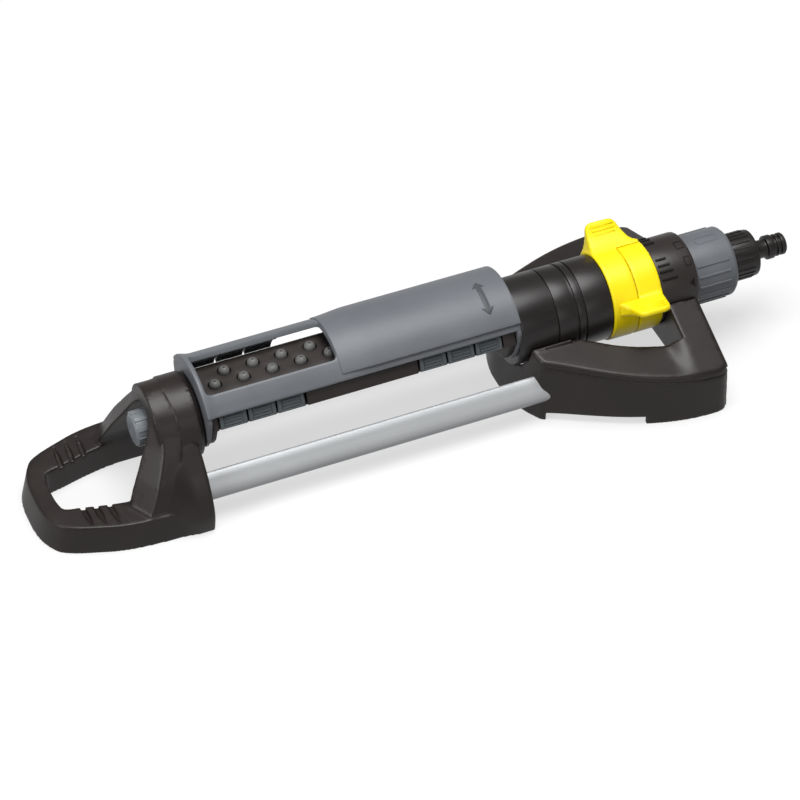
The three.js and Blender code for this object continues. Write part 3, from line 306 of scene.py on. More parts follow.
def fromOutline(points, x, y):  # the distance to a closed outline
    best = np.full(np.broadcast(x, y).shape, 1e9, np.float32)
    inside = np.zeros(best.shape, bool)
    for i, (ax, ay) in enumerate(points):
        bx, by = points[(i + 1) % len(points)]
        ex, ey = bx - ax, by - ay
        along = np.clip(((x - ax) * ex + (y - ay) * ey) / (ex * ex + ey * ey + 1e-9), 0, 1)
        best = np.minimum(best, (x - ax - along * ex) ** 2 + (y - ay - along * ey) ** 2)
        crosses = ((ay > y) != (by > y)) & (x < (bx - ax) * (y - ay) / (by - ay + 1e-12) + ax)
        inside ^= crosses
    return np.where(inside, -1, 1) * np.sqrt(best)


def smoothCurve(points, steps=5):  # a smooth line through points
    out = []
    count = len(points)
    for i in range(count - 1):
        a = np.array(points[max(i - 1, 0)], float)
        b = np.array(points[i], float)
        c = np.array(points[i + 1], float)
        d = np.array(points[min(i + 2, count - 1)], float)
        for k in range(steps):
            t = k / steps
            out.append(tuple(0.5 * (2 * b + (c - a) * t + (2 * a - 5 * b + 4 * c - d) * t * t
                                    + (3 * b - a - 3 * c + d) * t ** 3)))
    out.append(tuple(points[-1]))
    return out


def mirroredOutline(half):  # a half outline with y >= 0, closed on the other side
    return list(half) + [(x, -y) for x, y in reversed(half) if y > 1e-6]


def eased(share):  # 0..1 with a soft start and end
    share = np.clip(share, 0, 1)
    return share * share * (3 - 2 * share)


def planGrid(low, high, step):  # the columns and rows of a flat grid
    return (np.arange(low[0], high[0], step, dtype=np.float32)[:, None],
            np.arange(low[1], high[1], step, dtype=np.float32)[None, :])


def lookUp(flat, grid, x, y):  # what a flat grid holds at each x and y, between its points too
    columns, rows = grid
    step = float(columns[1, 0] - columns[0, 0])
    x, y = np.broadcast_arrays(x, y)
    u = np.clip((x - columns[0, 0]) / step, 0, flat.shape[0] - 1.001)
    v = np.clip((y - rows[0, 0]) / step, 0, flat.shape[1] - 1.001)
    i, j = u.astype(np.int32), v.astype(np.int32)
    fu, fv = u - i, v - j
    return ((flat[i, j] * (1 - fu) + flat[i + 1, j] * fu) * (1 - fv)
            + (flat[i, j + 1] * (1 - fu) + flat[i + 1, j + 1] * fu) * fv)


# a field that is the same on both sides of y = 0, as a mesh
def symmetricSolid(name, field, low, high, step):
    xs = np.arange(low[0], high[0] + step, step, dtype=np.float32)
    ys = np.arange(0, high[1] + step, step, dtype=np.float32)
    zs = np.arange(low[2], high[2] + step, step, dtype=np.float32)
    half = field(xs[:, None, None], ys[None, :, None], zs[None, None, :]).astype(np.float32)
    whole = np.concatenate([half[:, :0:-1, :], half], axis=1)
    return solidFrom(name, whole, (xs[0], -ys[-1], zs[0]), step)


mesher = {"reach": 3.0, "merge": 0.04}  # how many cells deep the field is kept, and how far flat faces merge


def solidFrom(name, values, corner, step):
    grid = vdb.FloatGrid(background=mesher["reach"])
    grid.copyFromArray(np.ascontiguousarray(np.clip(values / step, -mesher["reach"], mesher["reach"])))
    points, triangles, quads = grid.convertToPolygons(0.0, mesher["merge"])
    points = points * step + np.array(corner)
    points[:, 0] -= lay["middle"]
    mesh = bpy.data.meshes.new(name)
    mesh.from_pydata((points / 1000).tolist(), [], triangles.tolist() + quads.tolist())
    mesh.update()
    return outwards(mesh)


# The left foot is a loop, an arch over the end plug, a wall and the sleeve that holds the tube.
leftFoot = {
    "loopTop": 21.6, "shoulder": 1.3, "flare": 0.1, "loopEnd": -176.0, "openingTop": 30,
    "noseLean": 2.5, "noseFrom": -205, "noseReach": 70, "noseHigh": 18,
    "wall": -163.0, "wallFrom": -198, "wallReach": 26, "bodyEnd": -177.0, "skin": 2.6,
    "sleeve": 30.0, "sleeveFrom": -190, "sleeveEnd": -157.5, "bore": 16.3,
    "face": -250.5, "lean": 0.65, "sweep": 0.6, "middle": 13.0, "steep": 1.25,  # the front of the arch
    "toe": 2, "toeTop": 60, "toeHigh": 20, "brow": -216.0, "browLean": 0.3, "browFrom": 20, "band": 11.0,
    "bodyBehind": 3.4, "inset": 2.4, "insetFrom": 24, "insetHigh": 14, "topHigh": 14,
    "panel": 31.1, "panelFrom": -178.0, "panelTo": -159.5, "panelLow": 46.0,
    "grooves": (-246.0, -237.2, -228.2), "grooveEnd": 41.5, "grooveHalf": 1.6, "grooveTaper": 9.0,
    "grooveFloor": 19.0, "step": 0.7,
    "outer": [(-279.5, 0), (-278.8, 14), (-276, 25.5), (-270, 36), (-262, 41.3), (-253, 45), (-243.5, 48.2),
              (-234, 51.3), (-223.6, 53.6), (-213, 55), (-200, 56), (-188, 56.6), (-163, 57)],
    "inner": [(-261.6, 0), (-261.2, 8), (-260.2, 14.5), (-258.6, 18.4), (-254.5, 20.4), (-247.6, 21.8),
              (-238, 24.3), (-227.6, 26.8), (-217, 28.8), (-208, 30), (-195, 30.5), (-180, 30.5),
              (-168, 30.5)],
    "archOuter": [(52, -6), (51.5, 18), (50.2, 27), (46.5, 38), (41.4, 48), (36.1, 57.5), (29.8, 66.5),
                  (22.5, 74.8), (14.5, 82), (7, 87), (0, 88.6)],
    "archInner": [(30.5, -9), (30.5, 24), (29.4, 31), (25.9, 42), (21.6, 52), (18.6, 60), (15.4, 66.5),
                  (10.6, 73), (5.5, 77.2), (0, 78.8)],
    "wallSide": [(57, -6), (60.5, 14), (57, 28), (49, 42), (40, 52), (32.5, 60), (30, 66)],
}


def leftFootField(x, y, z):
    s = leftFoot
    ring = np.hypot(y, z - lay["axis"])
    nose = s["noseLean"] * np.clip(z / s["noseHigh"], 0, 1.4)
    flatX = x - nose * np.clip((s["noseFrom"] - x) / s["noseReach"], 0, 1)
    ground = planGrid((-292, 0), (-140, 76), 0.8)
    outline = mirroredOutline(smoothCurve(s["outer"]) + [(-150, 57)])
    outer = lookUp(fromOutline(outline, *ground), ground, flatX, y)
    opening = mirroredOutline(smoothCurve(s["inner"]))
    inner = fromOutline(opening, x[:, :, 0], y[:, :, 0])[:, :, None]
    loop = roundAnd(outer + s["flare"] * z, z - s["loopTop"], s["shoulder"])
    loop = np.maximum(loop, x - s["loopEnd"])

    # the arch is drawn as seen along the tube; its face leans back as it rises and towards its outer edge
    upright = planGrid((0, -6), (76, 100), 0.6)

    def section(side):
        line = [(-u, v) for u, v in reversed(side) if u > 0] + [tuple(side[0])] + list(side[1:])
        return lookUp(fromOutline(line, *upright), upright, y, z)

    archOuter = section(smoothCurve(s["archOuter"]))
    archInner = section(smoothCurve(s["archInner"]))
    foot = s["toe"] * np.clip((s["toeTop"] - z) / s["toeHigh"], 0, 1)
    curve = s["sweep"] * np.sqrt(y * y + s["middle"] ** 2)
    face = (x - s["face"] + foot - s["lean"] * z - curve) / s["steep"]
    face = np.minimum(face, (x - s["brow"] - s["browLean"] * np.maximum(z - s["browFrom"], 0)) * 0.9)
    band = roundAnd(roundAnd(archOuter, -face, 0.8), face - s["band"], 0.8)

    # the body behind it, and the wall at the sleeve: round on top, flaring to the ground
    wallLine = smoothCurve(s["wallSide"])
    wallFlat = fromOutline([(-u, v) for u, v in reversed(wallLine)] + list(wallLine), *upright)
    wallFlat = np.minimum(wallFlat, np.hypot(upright[0], upright[1] - lay["axis"]) - s["sleeve"] - 0.8)
    wall = lookUp(wallFlat, upright, y, z)
    blend = eased((x - s["wallFrom"]) / s["wallReach"])
    shelf = s["inset"] * np.clip((z - s["insetFrom"]) / s["insetHigh"], 0, 1)
    body = (1 - blend) * (archOuter + shelf) + blend * wall
    top = np.clip((z - lay["axis"]) / s["topHigh"], 0, 1)
    behind = x - s["wall"] - (s["bodyEnd"] - s["wall"]) * top
    body = roundAnd(roundAnd(body, s["bodyBehind"] - face, 2.0), behind, 1.6)
    sleeve = roundAnd(ring - s["sleeve"], x - s["sleeveEnd"], 1.0)
    ends = np.maximum(s["panelFrom"] - x + 0.12 * np.abs(y), x - s["panelTo"])
    panel = roundAnd(ring - s["panel"], ends, 0.5)
    sleeve = np.maximum(np.minimum(sleeve, np.maximum(panel, s["panelLow"] - z)), s["sleeveFrom"] - x)
    arch = roundOr(roundOr(body, sleeve, 1.0), band, 0.4)
    tunnel = np.maximum(archInner, x + s["skin"] - s["wall"])
    outside = roundOr(roundAnd(arch, -tunnel, 1.4), loop, 2.2)

    # hollow from below, and opened through the loop and along the tube
    hollow = outside + s["skin"]
    for hole in (inner, archInner):
        hollow = np.maximum(hollow, s["skin"] - hole)
    hollow = np.maximum(hollow, s["bore"] + 3.0 - ring)
    shell = np.maximum(outside, -hollow)
    shell = roundAnd(shell, -np.maximum(inner, z - s["openingTop"]), 1.2)
    shell = np.maximum(shell, s["bore"] - ring)
    for x0 in s["grooves"]:
        end = s["grooveEnd"] + (x0 - s["grooves"][0]) * 0.25
        half = s["grooveHalf"] * np.clip((end + 0.6 - y) / s["grooveTaper"], 0, 1)
        slot = np.maximum(np.abs(x - x0 - 0.05 * (y - 30)) - half, y - end)
        slot = np.maximum(slot, s["grooveFloor"] + 0.09 * np.clip(y - 24, 0, 30) - z)
        shell = roundAnd(shell, -slot, 0.4)
    return np.maximum(shell, -z)


mesh = symmetricSolid("leftFoot", leftFootField, (-284, 0, -2), (-154, 64, 96), leftFoot["step"])
finishPiece(mesh, "left_foot_shell", "root", "dark_plastic", ["left_foot"], None)
print("left foot:", len(mesh.polygons), "faces")

# The right foot cradles the barrel and the scale ring; its top falls away to both sides.
rightFoot = {
    "left": 76.0, "skin": 2.6, "draw": 0.05,
    "lean": 12.0, "leanHalf": 46.0, "leanTop": 52.5, "leanEnd": 150.0,
    "peak": 62.6, "peakX": 88.0, "slope": 0.06, "fall": 0.21,
    "armRise": 0.21, "armX": 181.0, "armReach": 14, "armHalf": 86.0, "armMost": 60,
    "barrel": 31.7, "barrelEnd": 153.0, "scale": 30.7, "under": 2.5, "ledge": (104.0, 14.0, 56.0),
    "raise": 6.0, "raised": (93.0, 157.0), "seam": 5.0, "seamDeep": 1.6, "seamFrom": 92.0, "edge": 2.4,
    "underpass": (189.5, 62.0, 20.0), "step": 0.8,
    "leftWall": [(76, 0), (76.6, 12), (79, 24), (83, 35), (89, 45.5)],
    "front": [(91, 47.3), (101.6, 52.5), (124, 64.9), (140, 73), (156.4, 79.8), (175, 85.3), (192, 88.3),
              (207, 89), (214, 88), (218, 84), (218.5, 78), (218.5, 0)],
    "opening": [(112, 0), (114, 20), (118, 26), (126, 32.2), (135, 37), (147, 43.4), (157, 47.4), (165, 50),
                (178, 53.2), (188, 55.2), (194.2, 56), (194.6, 50), (194.6, 0)],
}


def rightFootField(x, y, z):
    s = rightFoot
    ring = np.hypot(y, z - lay["axis"])
    rise = z / s["leanTop"]
    near = 1 - np.clip(y / s["leanHalf"], 0, 1) ** 1.5
    flatX = x - s["lean"] * rise * near * np.clip((s["leanEnd"] - x) / (s["leanEnd"] - s["left"]), 0, 1)
    ground = planGrid((40, 0), (240, 100), 0.8)
    outline = mirroredOutline(smoothCurve(s["leftWall"]) + smoothCurve(s["front"]))
    outer = lookUp(fromOutline(outline, *ground), ground, flatX, y / (1 - s["draw"] * rise))
    opening = mirroredOutline(smoothCurve(s["opening"]))
    inner = lookUp(fromOutline(opening, *ground), ground, x, y)

    # the cross arm rises to the scale ring, and a fine seam runs below the top edge
    arm = eased((x - s["armX"]) / s["armReach"])
    top = (s["peak"] - s["slope"] * (x - s["peakX"]) - s["fall"] * y
           + arm * s["armRise"] * np.clip(s["armHalf"] - y, 0, s["armMost"]))
    outside = roundAnd(outer, (z - top) * 0.96, s["edge"])
    line = np.abs(z - top + s["seam"]) * 1.5 - outer - s["seamDeep"]
    outside = np.maximum(outside, -np.maximum(line, s["seamFrom"] - x))

    # hollow from below, with the floor of the cradle under the barrel
    hollow = np.maximum(outside + s["skin"], s["skin"] - inner)
    below = s["barrel"] + s["under"]
    hollow = np.maximum(hollow, np.minimum(below - ring, x - s["barrelEnd"]))
    shell = roundAnd(np.maximum(outside, -hollow), -inner, 1.3)
    middle, reach, level = s["ledge"]
    cradle = np.maximum(ring - below, np.maximum(np.abs(x - middle) - reach, z - level))
    shell = np.minimum(shell, cradle)
    shell = roundAnd(shell, -np.maximum(ring - s["barrel"], x - s["barrelEnd"]), 0.8)
    shell = roundAnd(shell, -np.maximum(ring - s["scale"], s["barrelEnd"] - 1 - x), 0.8)
    notch = np.maximum(np.maximum(s["raised"][0] - x, x - s["raised"][1]), z - s["raise"])
    shell = roundAnd(shell, -notch, 0.6)
    passage = np.maximum(np.maximum(s["underpass"][0] - x, y - s["underpass"][1]), z - s["underpass"][2])
    shell = roundAnd(shell, -passage, 1.0)
    return np.maximum(shell, -z)


mesh = symmetricSolid("rightFoot", rightFootField, (72, 0, -2), (222, 93, 66), rightFoot["step"])
finishPiece(mesh, "right_foot_shell", "root", "dark_plastic", ["right_foot"], None)
print("right foot:", len(mesh.polygons), "faces")


# A sheet with holes is laid out flat, then shaped by its top and bottom; u and v are plan millimetres.
# soft is how far its edges are rounded, pitch and edge are the spacing of its points inside and at the rim.
def sheet(name, outline, holes, top, bottom, soft=0.8, pitch=3.0, edge=1.6):
    loops = [spaced(loop, edge) for loop in [outline] + holes]

    def room(x, y):  # how far a point lies from the rim, above zero inside
        depth = -fromOutline(loops[0], x, y)
        for hole in loops[1:]:
            depth = np.minimum(depth, fromOutline(hole, x, y))
        return depth

    points, edges = [], []
    for k, loop in enumerate(loops):
        for depth in (0, 0.3 * soft, soft):
            ring = inset(loop, depth if k == 0 else -depth)
            first = len(points)
            points += ring
            edges += [(first + i, first + (i + 1) % len(ring)) for i in range(len(ring))]
    us = [p[0] for p in loops[0]]
    vs = [p[1] for p in loops[0]]
    gridU, gridV = np.meshgrid(np.arange(min(us), max(us), pitch), np.arange(min(vs), max(vs), pitch))
    gridU, gridV = gridU.ravel(), gridV.ravel()
    keep = room(gridU, gridV) > soft + 0.35 * pitch
    points += list(zip(gridU[keep].tolist(), gridV[keep].tolist()))
    made = geometry.delaunay_2d_cdt([Vector(p) for p in points], edges, [], 0, 1e-4)
    flat = np.array([tuple(p) for p in made[0]])
    faces = np.array([f for f in made[2] if len(f) == 3])
    middle = flat[faces].mean(axis=1)
    faces = faces[room(middle[:, 0], middle[:, 1]) > 0].tolist()
    depth = np.abs(room(flat[:, 0], flat[:, 1]))
    drop = soft - np.sqrt(np.maximum(soft ** 2 - np.maximum(soft - depth, 0) ** 2, 0))
    upper = top(flat[:, 0], flat[:, 1], drop)
    lower = bottom(flat[:, 0], flat[:, 1], drop * 0.4)
    count = len(flat)
    sides = dict.fromkeys(pair for a, b, c in faces for pair in ((a, b), (b, c), (c, a)))
    polygons = [tuple(f) for f in faces]
    polygons += [(c + count, b + count, a + count) for a, b, c in faces]
    polygons += [(b, a, a + count, b + count) for a, b in sides if (b, a) not in sides]
    return outwards(meshOf(name, np.vstack([upper, lower]).tolist(), polygons))


def spaced(loop, most):  # a loop with no stretch longer than most
    out = []
    for i, (ax, ay) in enumerate(loop):
        bx, by = loop[(i + 1) % len(loop)]
        parts = max(1, math.ceil(math.hypot(bx - ax, by - ay) / most))
        out += [(ax + (bx - ax) * k / parts, ay + (by - ay) * k / parts) for k in range(parts)]
    return out


def inset(loop, depth):  # a loop moved inwards; a negative depth moves it outwards
    if not depth:
        return list(loop)
    ahead = np.roll(loop, -1, axis=0) - np.array(loop)
    ahead /= np.linalg.norm(ahead, axis=1)[:, None] + 1e-9
    sides = np.stack([-ahead[:, 1], ahead[:, 0]], axis=1)
    normal = sides + np.roll(sides, 1, axis=0)
    normal /= np.linalg.norm(normal, axis=1)[:, None] + 1e-9
    scale = 1 / np.maximum(0.5, (normal * sides).sum(axis=1))
    area = sum(loop[i - 1][0] * loop[i][1] - loop[i][0] * loop[i - 1][1] for i in range(len(loop)))
    return [tuple(p) for p in np.array(loop) + normal * (depth * (1 if area > 0 else -1) * scale)[:, None]]


def bent(radius):  # a plan point bent round the axis; v runs along the arc, front below zero
    def shape(u, v, drop):
        r = radius(u, v) - drop
        angle = v / hood["radius"]
        return np.stack([u, r * np.sin(angle), lay["axis"] + r * np.cos(angle)], axis=1)
    return shape


def slab(name, outline, low, high, toPoint, soft=0.0):  # a flat plate cut to an outline
    rings = [(low, soft), (low + 0.3 * soft, 0.3 * soft), (low + soft, 0)] if soft else [(low, 0)]
    rings += [(low + high - w, depth) for w, depth in reversed(rings)]
    points = [toPoint(u, v, w) for w, depth in rings for u, v in inset(outline, depth)]
    count = len(outline)
    faces = [tuple(range(count)), tuple(range((len(rings) - 1) * count, len(rings) * count))[::-1]]
    for k in range(len(rings) - 1):
        for i in range(count):
            j = (i + 1) % count
            faces.append((k * count + i, k * count + j, (k + 1) * count + j, (k + 1) * count + i))
    return outwards(meshOf(name, points, faces))


def across(u, v, w):  # a plate that stands across the tube: u is y, v is z above the axis, w is x
    return (w, u, lay["axis"] + v)


# Angles on the hood, cover and tabs are degrees from the top; the front is below zero.
hood = {
    "left": -156.5, "right": 78.2, "radius": 40.0, "wall": 3.4, "halfAngle": 57.5,
    "flange": 1.9, "flangeEnd": 9.5,
    "windowLeft": -152.6, "windowRight": -56.5, "front": 34.0, "back": 22.0, "corner": 3.4,
    "secondLeft": -40.0, "secondRight": 66.0, "second": 30.0, "secondCorner": 4.0,
    "lineEnd": -104.0, "lineAngle": 51.5, "lineDeep": 0.35,
    "cheek": 3.2, "cheekRadius": 37.6, "cheekSoft": 0.7, "bore": 13.4,
}


def arc(angle):
    return math.radians(angle) * hood["radius"]


def box(left, right, low, high, corner, steps=5):
    return rounded([(left, low), (right, low), (right, high), (left, high)], corner, steps)


def hoodTop(u, v):
    s = hood
    radius = s["radius"] + s["flange"] * eased(1 - (u - s["left"]) / s["flangeEnd"])
    line = np.clip((s["lineEnd"] - u) / 20, 0, 1) * np.clip((u - s["left"] - 3) / 2, 0, 1)
    return radius - s["lineDeep"] * line * np.exp(-((np.abs(v) - arc(s["lineAngle"])) / 0.9) ** 2)


def sameRadius(radius):  # all over a sheet
    return lambda u, v: np.full(u.shape, radius)


def hoodShell():
    s = hood
    window = box(s["windowLeft"], s["windowRight"], arc(-s["front"]), arc(s["back"]), s["corner"])
    second = box(s["secondLeft"], s["secondRight"], arc(-s["second"]), arc(s["second"]), s["secondCorner"])
    outline = box(s["left"], s["right"], arc(-s["halfAngle"]), arc(s["halfAngle"]), 1.5)
    return sheet("hoodShell", outline, [window, second], bent(hoodTop),
                 bent(sameRadius(s["radius"] - s["wall"])), soft=1.1, pitch=2.4)


cheekSide = [(33.9, 21.6), (35.2, 18.5), (34.6, 13), (32.6, 5), (29.5, -4), (24.5, -11.5), (18.5, -16.5),
             (12.5, -18.5), (6, -20.5), (0, -21)]
cheekTop = [(hood["cheekRadius"] * math.sin(math.radians(a)), hood["cheekRadius"] * math.cos(math.radians(a)))
            for a in range(-56, 57, 4)]
cheekLine = cheekTop + cheekSide + [(-y, z) for y, z in reversed(cheekSide[:-1])]


def circle(x, y, radius, count=28):
    return [(x + radius * math.cos(2 * math.pi * k / count), y + radius * math.sin(2 * math.pi * k / count))
            for k in range(count)]


def withBore(name, outline, bore, low, high, soft):  # a plate across the tube with the tube's hole in it
    def face(level, sign):
        def shape(u, v, drop):
            return np.stack([np.full(u.shape, level) + sign * drop, u, lay["axis"] + v], axis=1)
        return shape

    return sheet(name, outline, [circle(0, 0, bore, 40)], face(low, 1), face(high, -2.5), soft, pitch=5.0,
                 edge=2.5)


cheeks = [withBore("hoodCheek", cheekLine, hood["bore"], low, high, hood["cheekSoft"])
          for low, high in ((hood["left"] + 0.2, hood["left"] + hood["cheek"]),
                            (hood["right"] - hood["cheek"], hood["right"] - 0.2))]
hoodMesh = joinedMesh("hood", [hoodShell()] + cheeks)
finishPiece(hoodMesh, "hood_shell", "oscillator", "grey_plastic", ["hood"], 40)
print("hood:", len(hoodMesh.polygons), "faces")

# The splash cover is a second half shell on the hood; its left edge runs out thin.
cover = {"left": -56.0, "right": 78.2, "halfAngle": 50.0,
         "inner": 40.3, "outer": 42.3, "thin": 40.75, "ramp": 25.0}


def coverTop(u, v):
    s = cover
    return s["thin"] + (s["outer"] - s["thin"]) * eased((u - s["left"]) / s["ramp"])


coverLine = box(cover["left"], cover["right"], arc(-cover["halfAngle"]), arc(cover["halfAngle"]), 0.8)
coverMesh = sheet("cover", coverLine, [], bent(coverTop), bent(sameRadius(cover["inner"])), soft=0.35,
                  pitch=2.6)
finishPiece(coverMesh, "cover_shell", "cover", "grey_plastic", ["splash_cover"], 40)

# the two-headed arrow on the cover, raised a little
arrow = {"x": 58.4, "top": 4.5, "bottom": -34.5, "neckTop": -3.0, "neckBottom": -26.5, "head": 4.6,
         "shaft": 1.9, "notch": 0.6, "proud": 0.45, "sunk": 0.4}


def arrowOutline():
    s = arrow
    half = [(0, arc(s["top"])), (s["head"], arc(s["neckTop"])), (s["shaft"], arc(s["neckTop"]) + s["notch"]),
            (s["shaft"], arc(s["neckBottom"]) - s["notch"]), (s["head"], arc(s["neckBottom"])),
            (0, arc(s["bottom"]))]
    return [(s["x"] + x, v) for x, v in half] + [(s["x"] - x, v) for x, v in reversed(half[1:-1])]


arrowMesh = sheet("arrow", arrowOutline(), [], bent(sameRadius(cover["outer"] + arrow["proud"])),
                  bent(sameRadius(cover["outer"] - arrow["sunk"])), soft=0.2, pitch=2.0, edge=1.2)
finishPiece(arrowMesh, "cover_arrow", "cover", "arrow_plastic", [], 40)
print("cover: done")


# a Geometry Nodes group with named inputs; what build makes goes on to Realize Instances and Set Material
def nodeGroup(name, inputs, build):
    group = bpy.data.node_groups.new(name, "GeometryNodeTree")
    for title, kind in inputs + (("Material", "Material"),):
        group.interface.new_socket(name=title, in_out="INPUT", socket_type="NodeSocket" + kind)
    group.interface.new_socket(name="Piece", in_out="OUTPUT", socket_type="NodeSocketGeometry")
    start = group.nodes.new("NodeGroupInput")
    real = group.nodes.new("GeometryNodeRealizeInstances")
    tint = group.nodes.new("GeometryNodeSetMaterial")
    end = group.nodes.new("NodeGroupOutput")
    links, made = build(group, start)
    links += [(made, real.inputs[0]), (real.outputs[0], tint.inputs["Geometry"]),
              (start.outputs["Material"], tint.inputs["Material"]), (tint.outputs[0], end.inputs[0])]
    for source, target in links:
        group.links.new(source, target)
    return group


# the mesh that a group makes of another mesh, as a plain mesh
def grown(name, base, group, look, values):
    holder = bpy.data.objects.new(name + "Holder", base)
    bpy.context.scene.collection.objects.link(holder)
    modifier = holder.modifiers.new(group.name, "NODES")
    modifier.node_group = group
    values["Material"] = materials[look]
    for item in group.interface.items_tree:
        if item.in_out == "INPUT" and item.name in values:
            modifier[item.identifier] = values[item.name]
    made = bpy.data.meshes.new_from_object(holder.evaluated_get(bpy.context.evaluated_depsgraph_get()))
    made.name = name
    holder.modifiers.remove(modifier)
    bpy.data.objects.remove(holder)
    return made


# copies of a unit on a row of points, each turned a little further about the row's own x axis
def repeatNodes(group, start):
    row = group.nodes.new("GeometryNodeMeshLine")
    row.mode = "OFFSET"
    index = group.nodes.new("GeometryNodeInputIndex")
    angle = group.nodes.new("ShaderNodeMath")
    angle.operation = "MULTIPLY_ADD"
    turn = group.nodes.new("ShaderNodeCombineXYZ")
    copies = group.nodes.new("GeometryNodeInstanceOnPoints")
    return [
        (start.outputs["Count"], row.inputs["Count"]), (start.outputs["Step"], row.inputs["Offset"]),
        (index.outputs[0], angle.inputs[0]), (start.outputs["Turn"], angle.inputs[1]),
        (start.outputs["First turn"], angle.inputs[2]), (angle.outputs[0], turn.inputs["X"]),
        (row.outputs["Mesh"], copies.inputs["Points"]), (start.outputs["Unit"], copies.inputs["Instance"]),
        (turn.outputs[0], copies.inputs["Rotation"]),
    ], copies.outputs[0]


repeatGroup = nodeGroup("repeat", (("Unit", "Geometry"), ("Count", "Int"), ("Step", "Vector"),
                                   ("First turn", "Float"), ("Turn", "Float")), repeatNodes)


# copies of a unit mesh as one plain mesh; step is in millimetres and the turns are in degrees
def repeated(name, unit, look, count, step=(0, 0, 0), first=0.0, turn=0.0):
    return grown(name, unit, repeatGroup, look, {
        "Count": count, "Step": tuple(value / 1000 for value in step),
        "First turn": math.radians(first), "Turn": math.radians(turn)})


def unitMesh(name, points, faces):  # a unit about its own origin, in millimetres
    mesh = bpy.data.meshes.new(name)
    mesh.from_pydata([(x / 1000, y / 1000, z / 1000) for x, y, z in points], [], faces)
    mesh.update()
    return outwards(mesh)


def moved(mesh, x, y, z):  # a mesh put where its unit belongs, in measured millimetres
    mesh.transform(Matrix.Translation(place(x, y, z)))
    mesh.update()
    return mesh


def bar(name, section, left, right):  # a section of (y, z) carried along x
    points = [(x, y, z) for x in (left, right) for y, z in section]
    count = len(section)
    faces = [tuple(range(count)), tuple(range(count, 2 * count))[::-1]]
    faces += [(i, (i + 1) % count, count + (i + 1) % count, count + i) for i in range(count)]
    return unitMesh(name, points, faces)


def spun(profile, segments):  # a closed (radius, height) profile about its own upright axis
    points, faces = [], []
    count = len(profile)
    for k in range(segments):
        cos, sin = math.cos(2 * math.pi * k / segments), math.sin(2 * math.pi * k / segments)
        points += [(r * cos, r * sin, h) for r, h in profile]
    for k in range(segments):
        following = (k + 1) % segments * count
        for i in range(count):
            j = (i + 1) % count
            faces.append((k * count + i, k * count + j, following + j, following + i))
    return points, faces


# The tray is a flat plate with a wall on each side, strips that fill the hood between the tabs, and two ends.
tray = {
    "left": -152.9, "right": 74.7, "top": 25.0, "flat": 15.2, "shoulder": (30.0, 11.0), "radius": 33.0,
    "lowAngle": 75.5, "hole": 5.0, "plate": 2.5, "bore": 13.6, "endWall": 3.8,
    "fillInner": 33.1, "fillOuter": 36.0, "fillFrom": 58, "fillTo": 74,
    "fills": [(-83.3, -0.4), (-152.6, -148.6), (64.6, 74.0)],
}
nozzle = {"firstX": -140.4, "pitch": 21.2, "stagger": 10.8, "rowY": 5.5, "count": 10,
          "radius": 4.05, "height": 3.7, "root": -3.2, "jet": 0.75, "jetDeep": 2.4,
          "bed": [(-13, 21.7), (13, 21.7), (12, 15.5), (-12, 15.5)], "bedLeft": -150, "bedRight": 72}


plateHoles = [circle(nozzle["firstX"] + offset + k * nozzle["pitch"], side * nozzle["rowY"], tray["hole"])
              for side, offset in ((-1, 0), (1, nozzle["stagger"])) for k in range(nozzle["count"])]
plateTop = lay["axis"] + tray["top"]
plate = sheet("plate", box(tray["left"], tray["right"], -tray["flat"], tray["flat"], 0.5), plateHoles,
              lambda u, v, drop: np.stack([u, v, plateTop - drop], axis=1),
              lambda u, v, drop: np.stack([u, v, plateTop - tray["plate"] + drop], axis=1),
              soft=0.35, pitch=6.0, edge=2.5)


def trayWall():  # the section of one side wall, as (y, z above the axis)
    s = tray
    lowY = s["radius"] * math.sin(math.radians(s["lowAngle"]))
    lowZ = s["radius"] * math.cos(math.radians(s["lowAngle"]))
    return [(s["flat"] - 0.2, s["top"] - 0.1), s["shoulder"], (lowY, lowZ), (lowY - 2, lowZ - 0.4),
            (s["shoulder"][0] - 2.4, s["shoulder"][1] - 0.8), (s["flat"] - 1.2, s["top"] - s["plate"])]


def trayFill():  # the section of the strips between the tabs
    s = tray
    corners = [(s["fillInner"], s["fillFrom"])]
    corners += [(s["fillOuter"], a) for a in range(s["fillFrom"] + 1, s["fillTo"] + 1, 3)]
    corners += [(s["fillInner"], s["fillTo"])]
    return [(-r * math.sin(math.radians(a)), r * math.cos(math.radians(a))) for r, a in corners]


def trayEnd():  # an end plate follows the hood's cheek, a little smaller
    low = [(y * 0.93, z * 0.9 - 1.0) for y, z in cheekSide][2:]
    return ([(-14.5, 24.5), (14.5, 24.5), (29, 11.5)] + low + [(-y, z) for y, z in reversed(low[:-1])]
            + [(-29, 11.5)])


walls = [slab("wall", [(sign * y, z) for y, z in trayWall()], tray["left"], tray["right"], across)
         for sign in (-1, 1)]
walls += [slab("fill", trayFill(), low, high, across, 0.4) for low, high in tray["fills"]]
walls += [withBore("trayEnd", trayEnd(), tray["bore"], low, low + tray["endWall"], 0.4)
          for low in (tray["left"] + 0.4, tray["right"] - 4.2)]
finishPiece(joinedMesh("tray", [plate] + walls), "tray_shell", "oscillator", "tray_plastic", ["nozzle_tray"])
print("tray: done")


def nozzleProfile():
    s = nozzle
    dome = [(s["radius"] * math.cos(math.radians(a)), s["height"] * math.sin(math.radians(a)))
            for a in (14, 28, 42, 55, 67)]
    jet = [(s["jet"] + 0.35, s["height"] - 0.06), (s["jet"], s["height"] - 0.3),
           (s["jet"] * 0.8, s["height"] - 2.2), (0.01, s["height"] - s["jetDeep"]), (0.01, s["root"])]
    return [(s["radius"], s["root"]), (s["radius"], 0.0)] + dome + jet


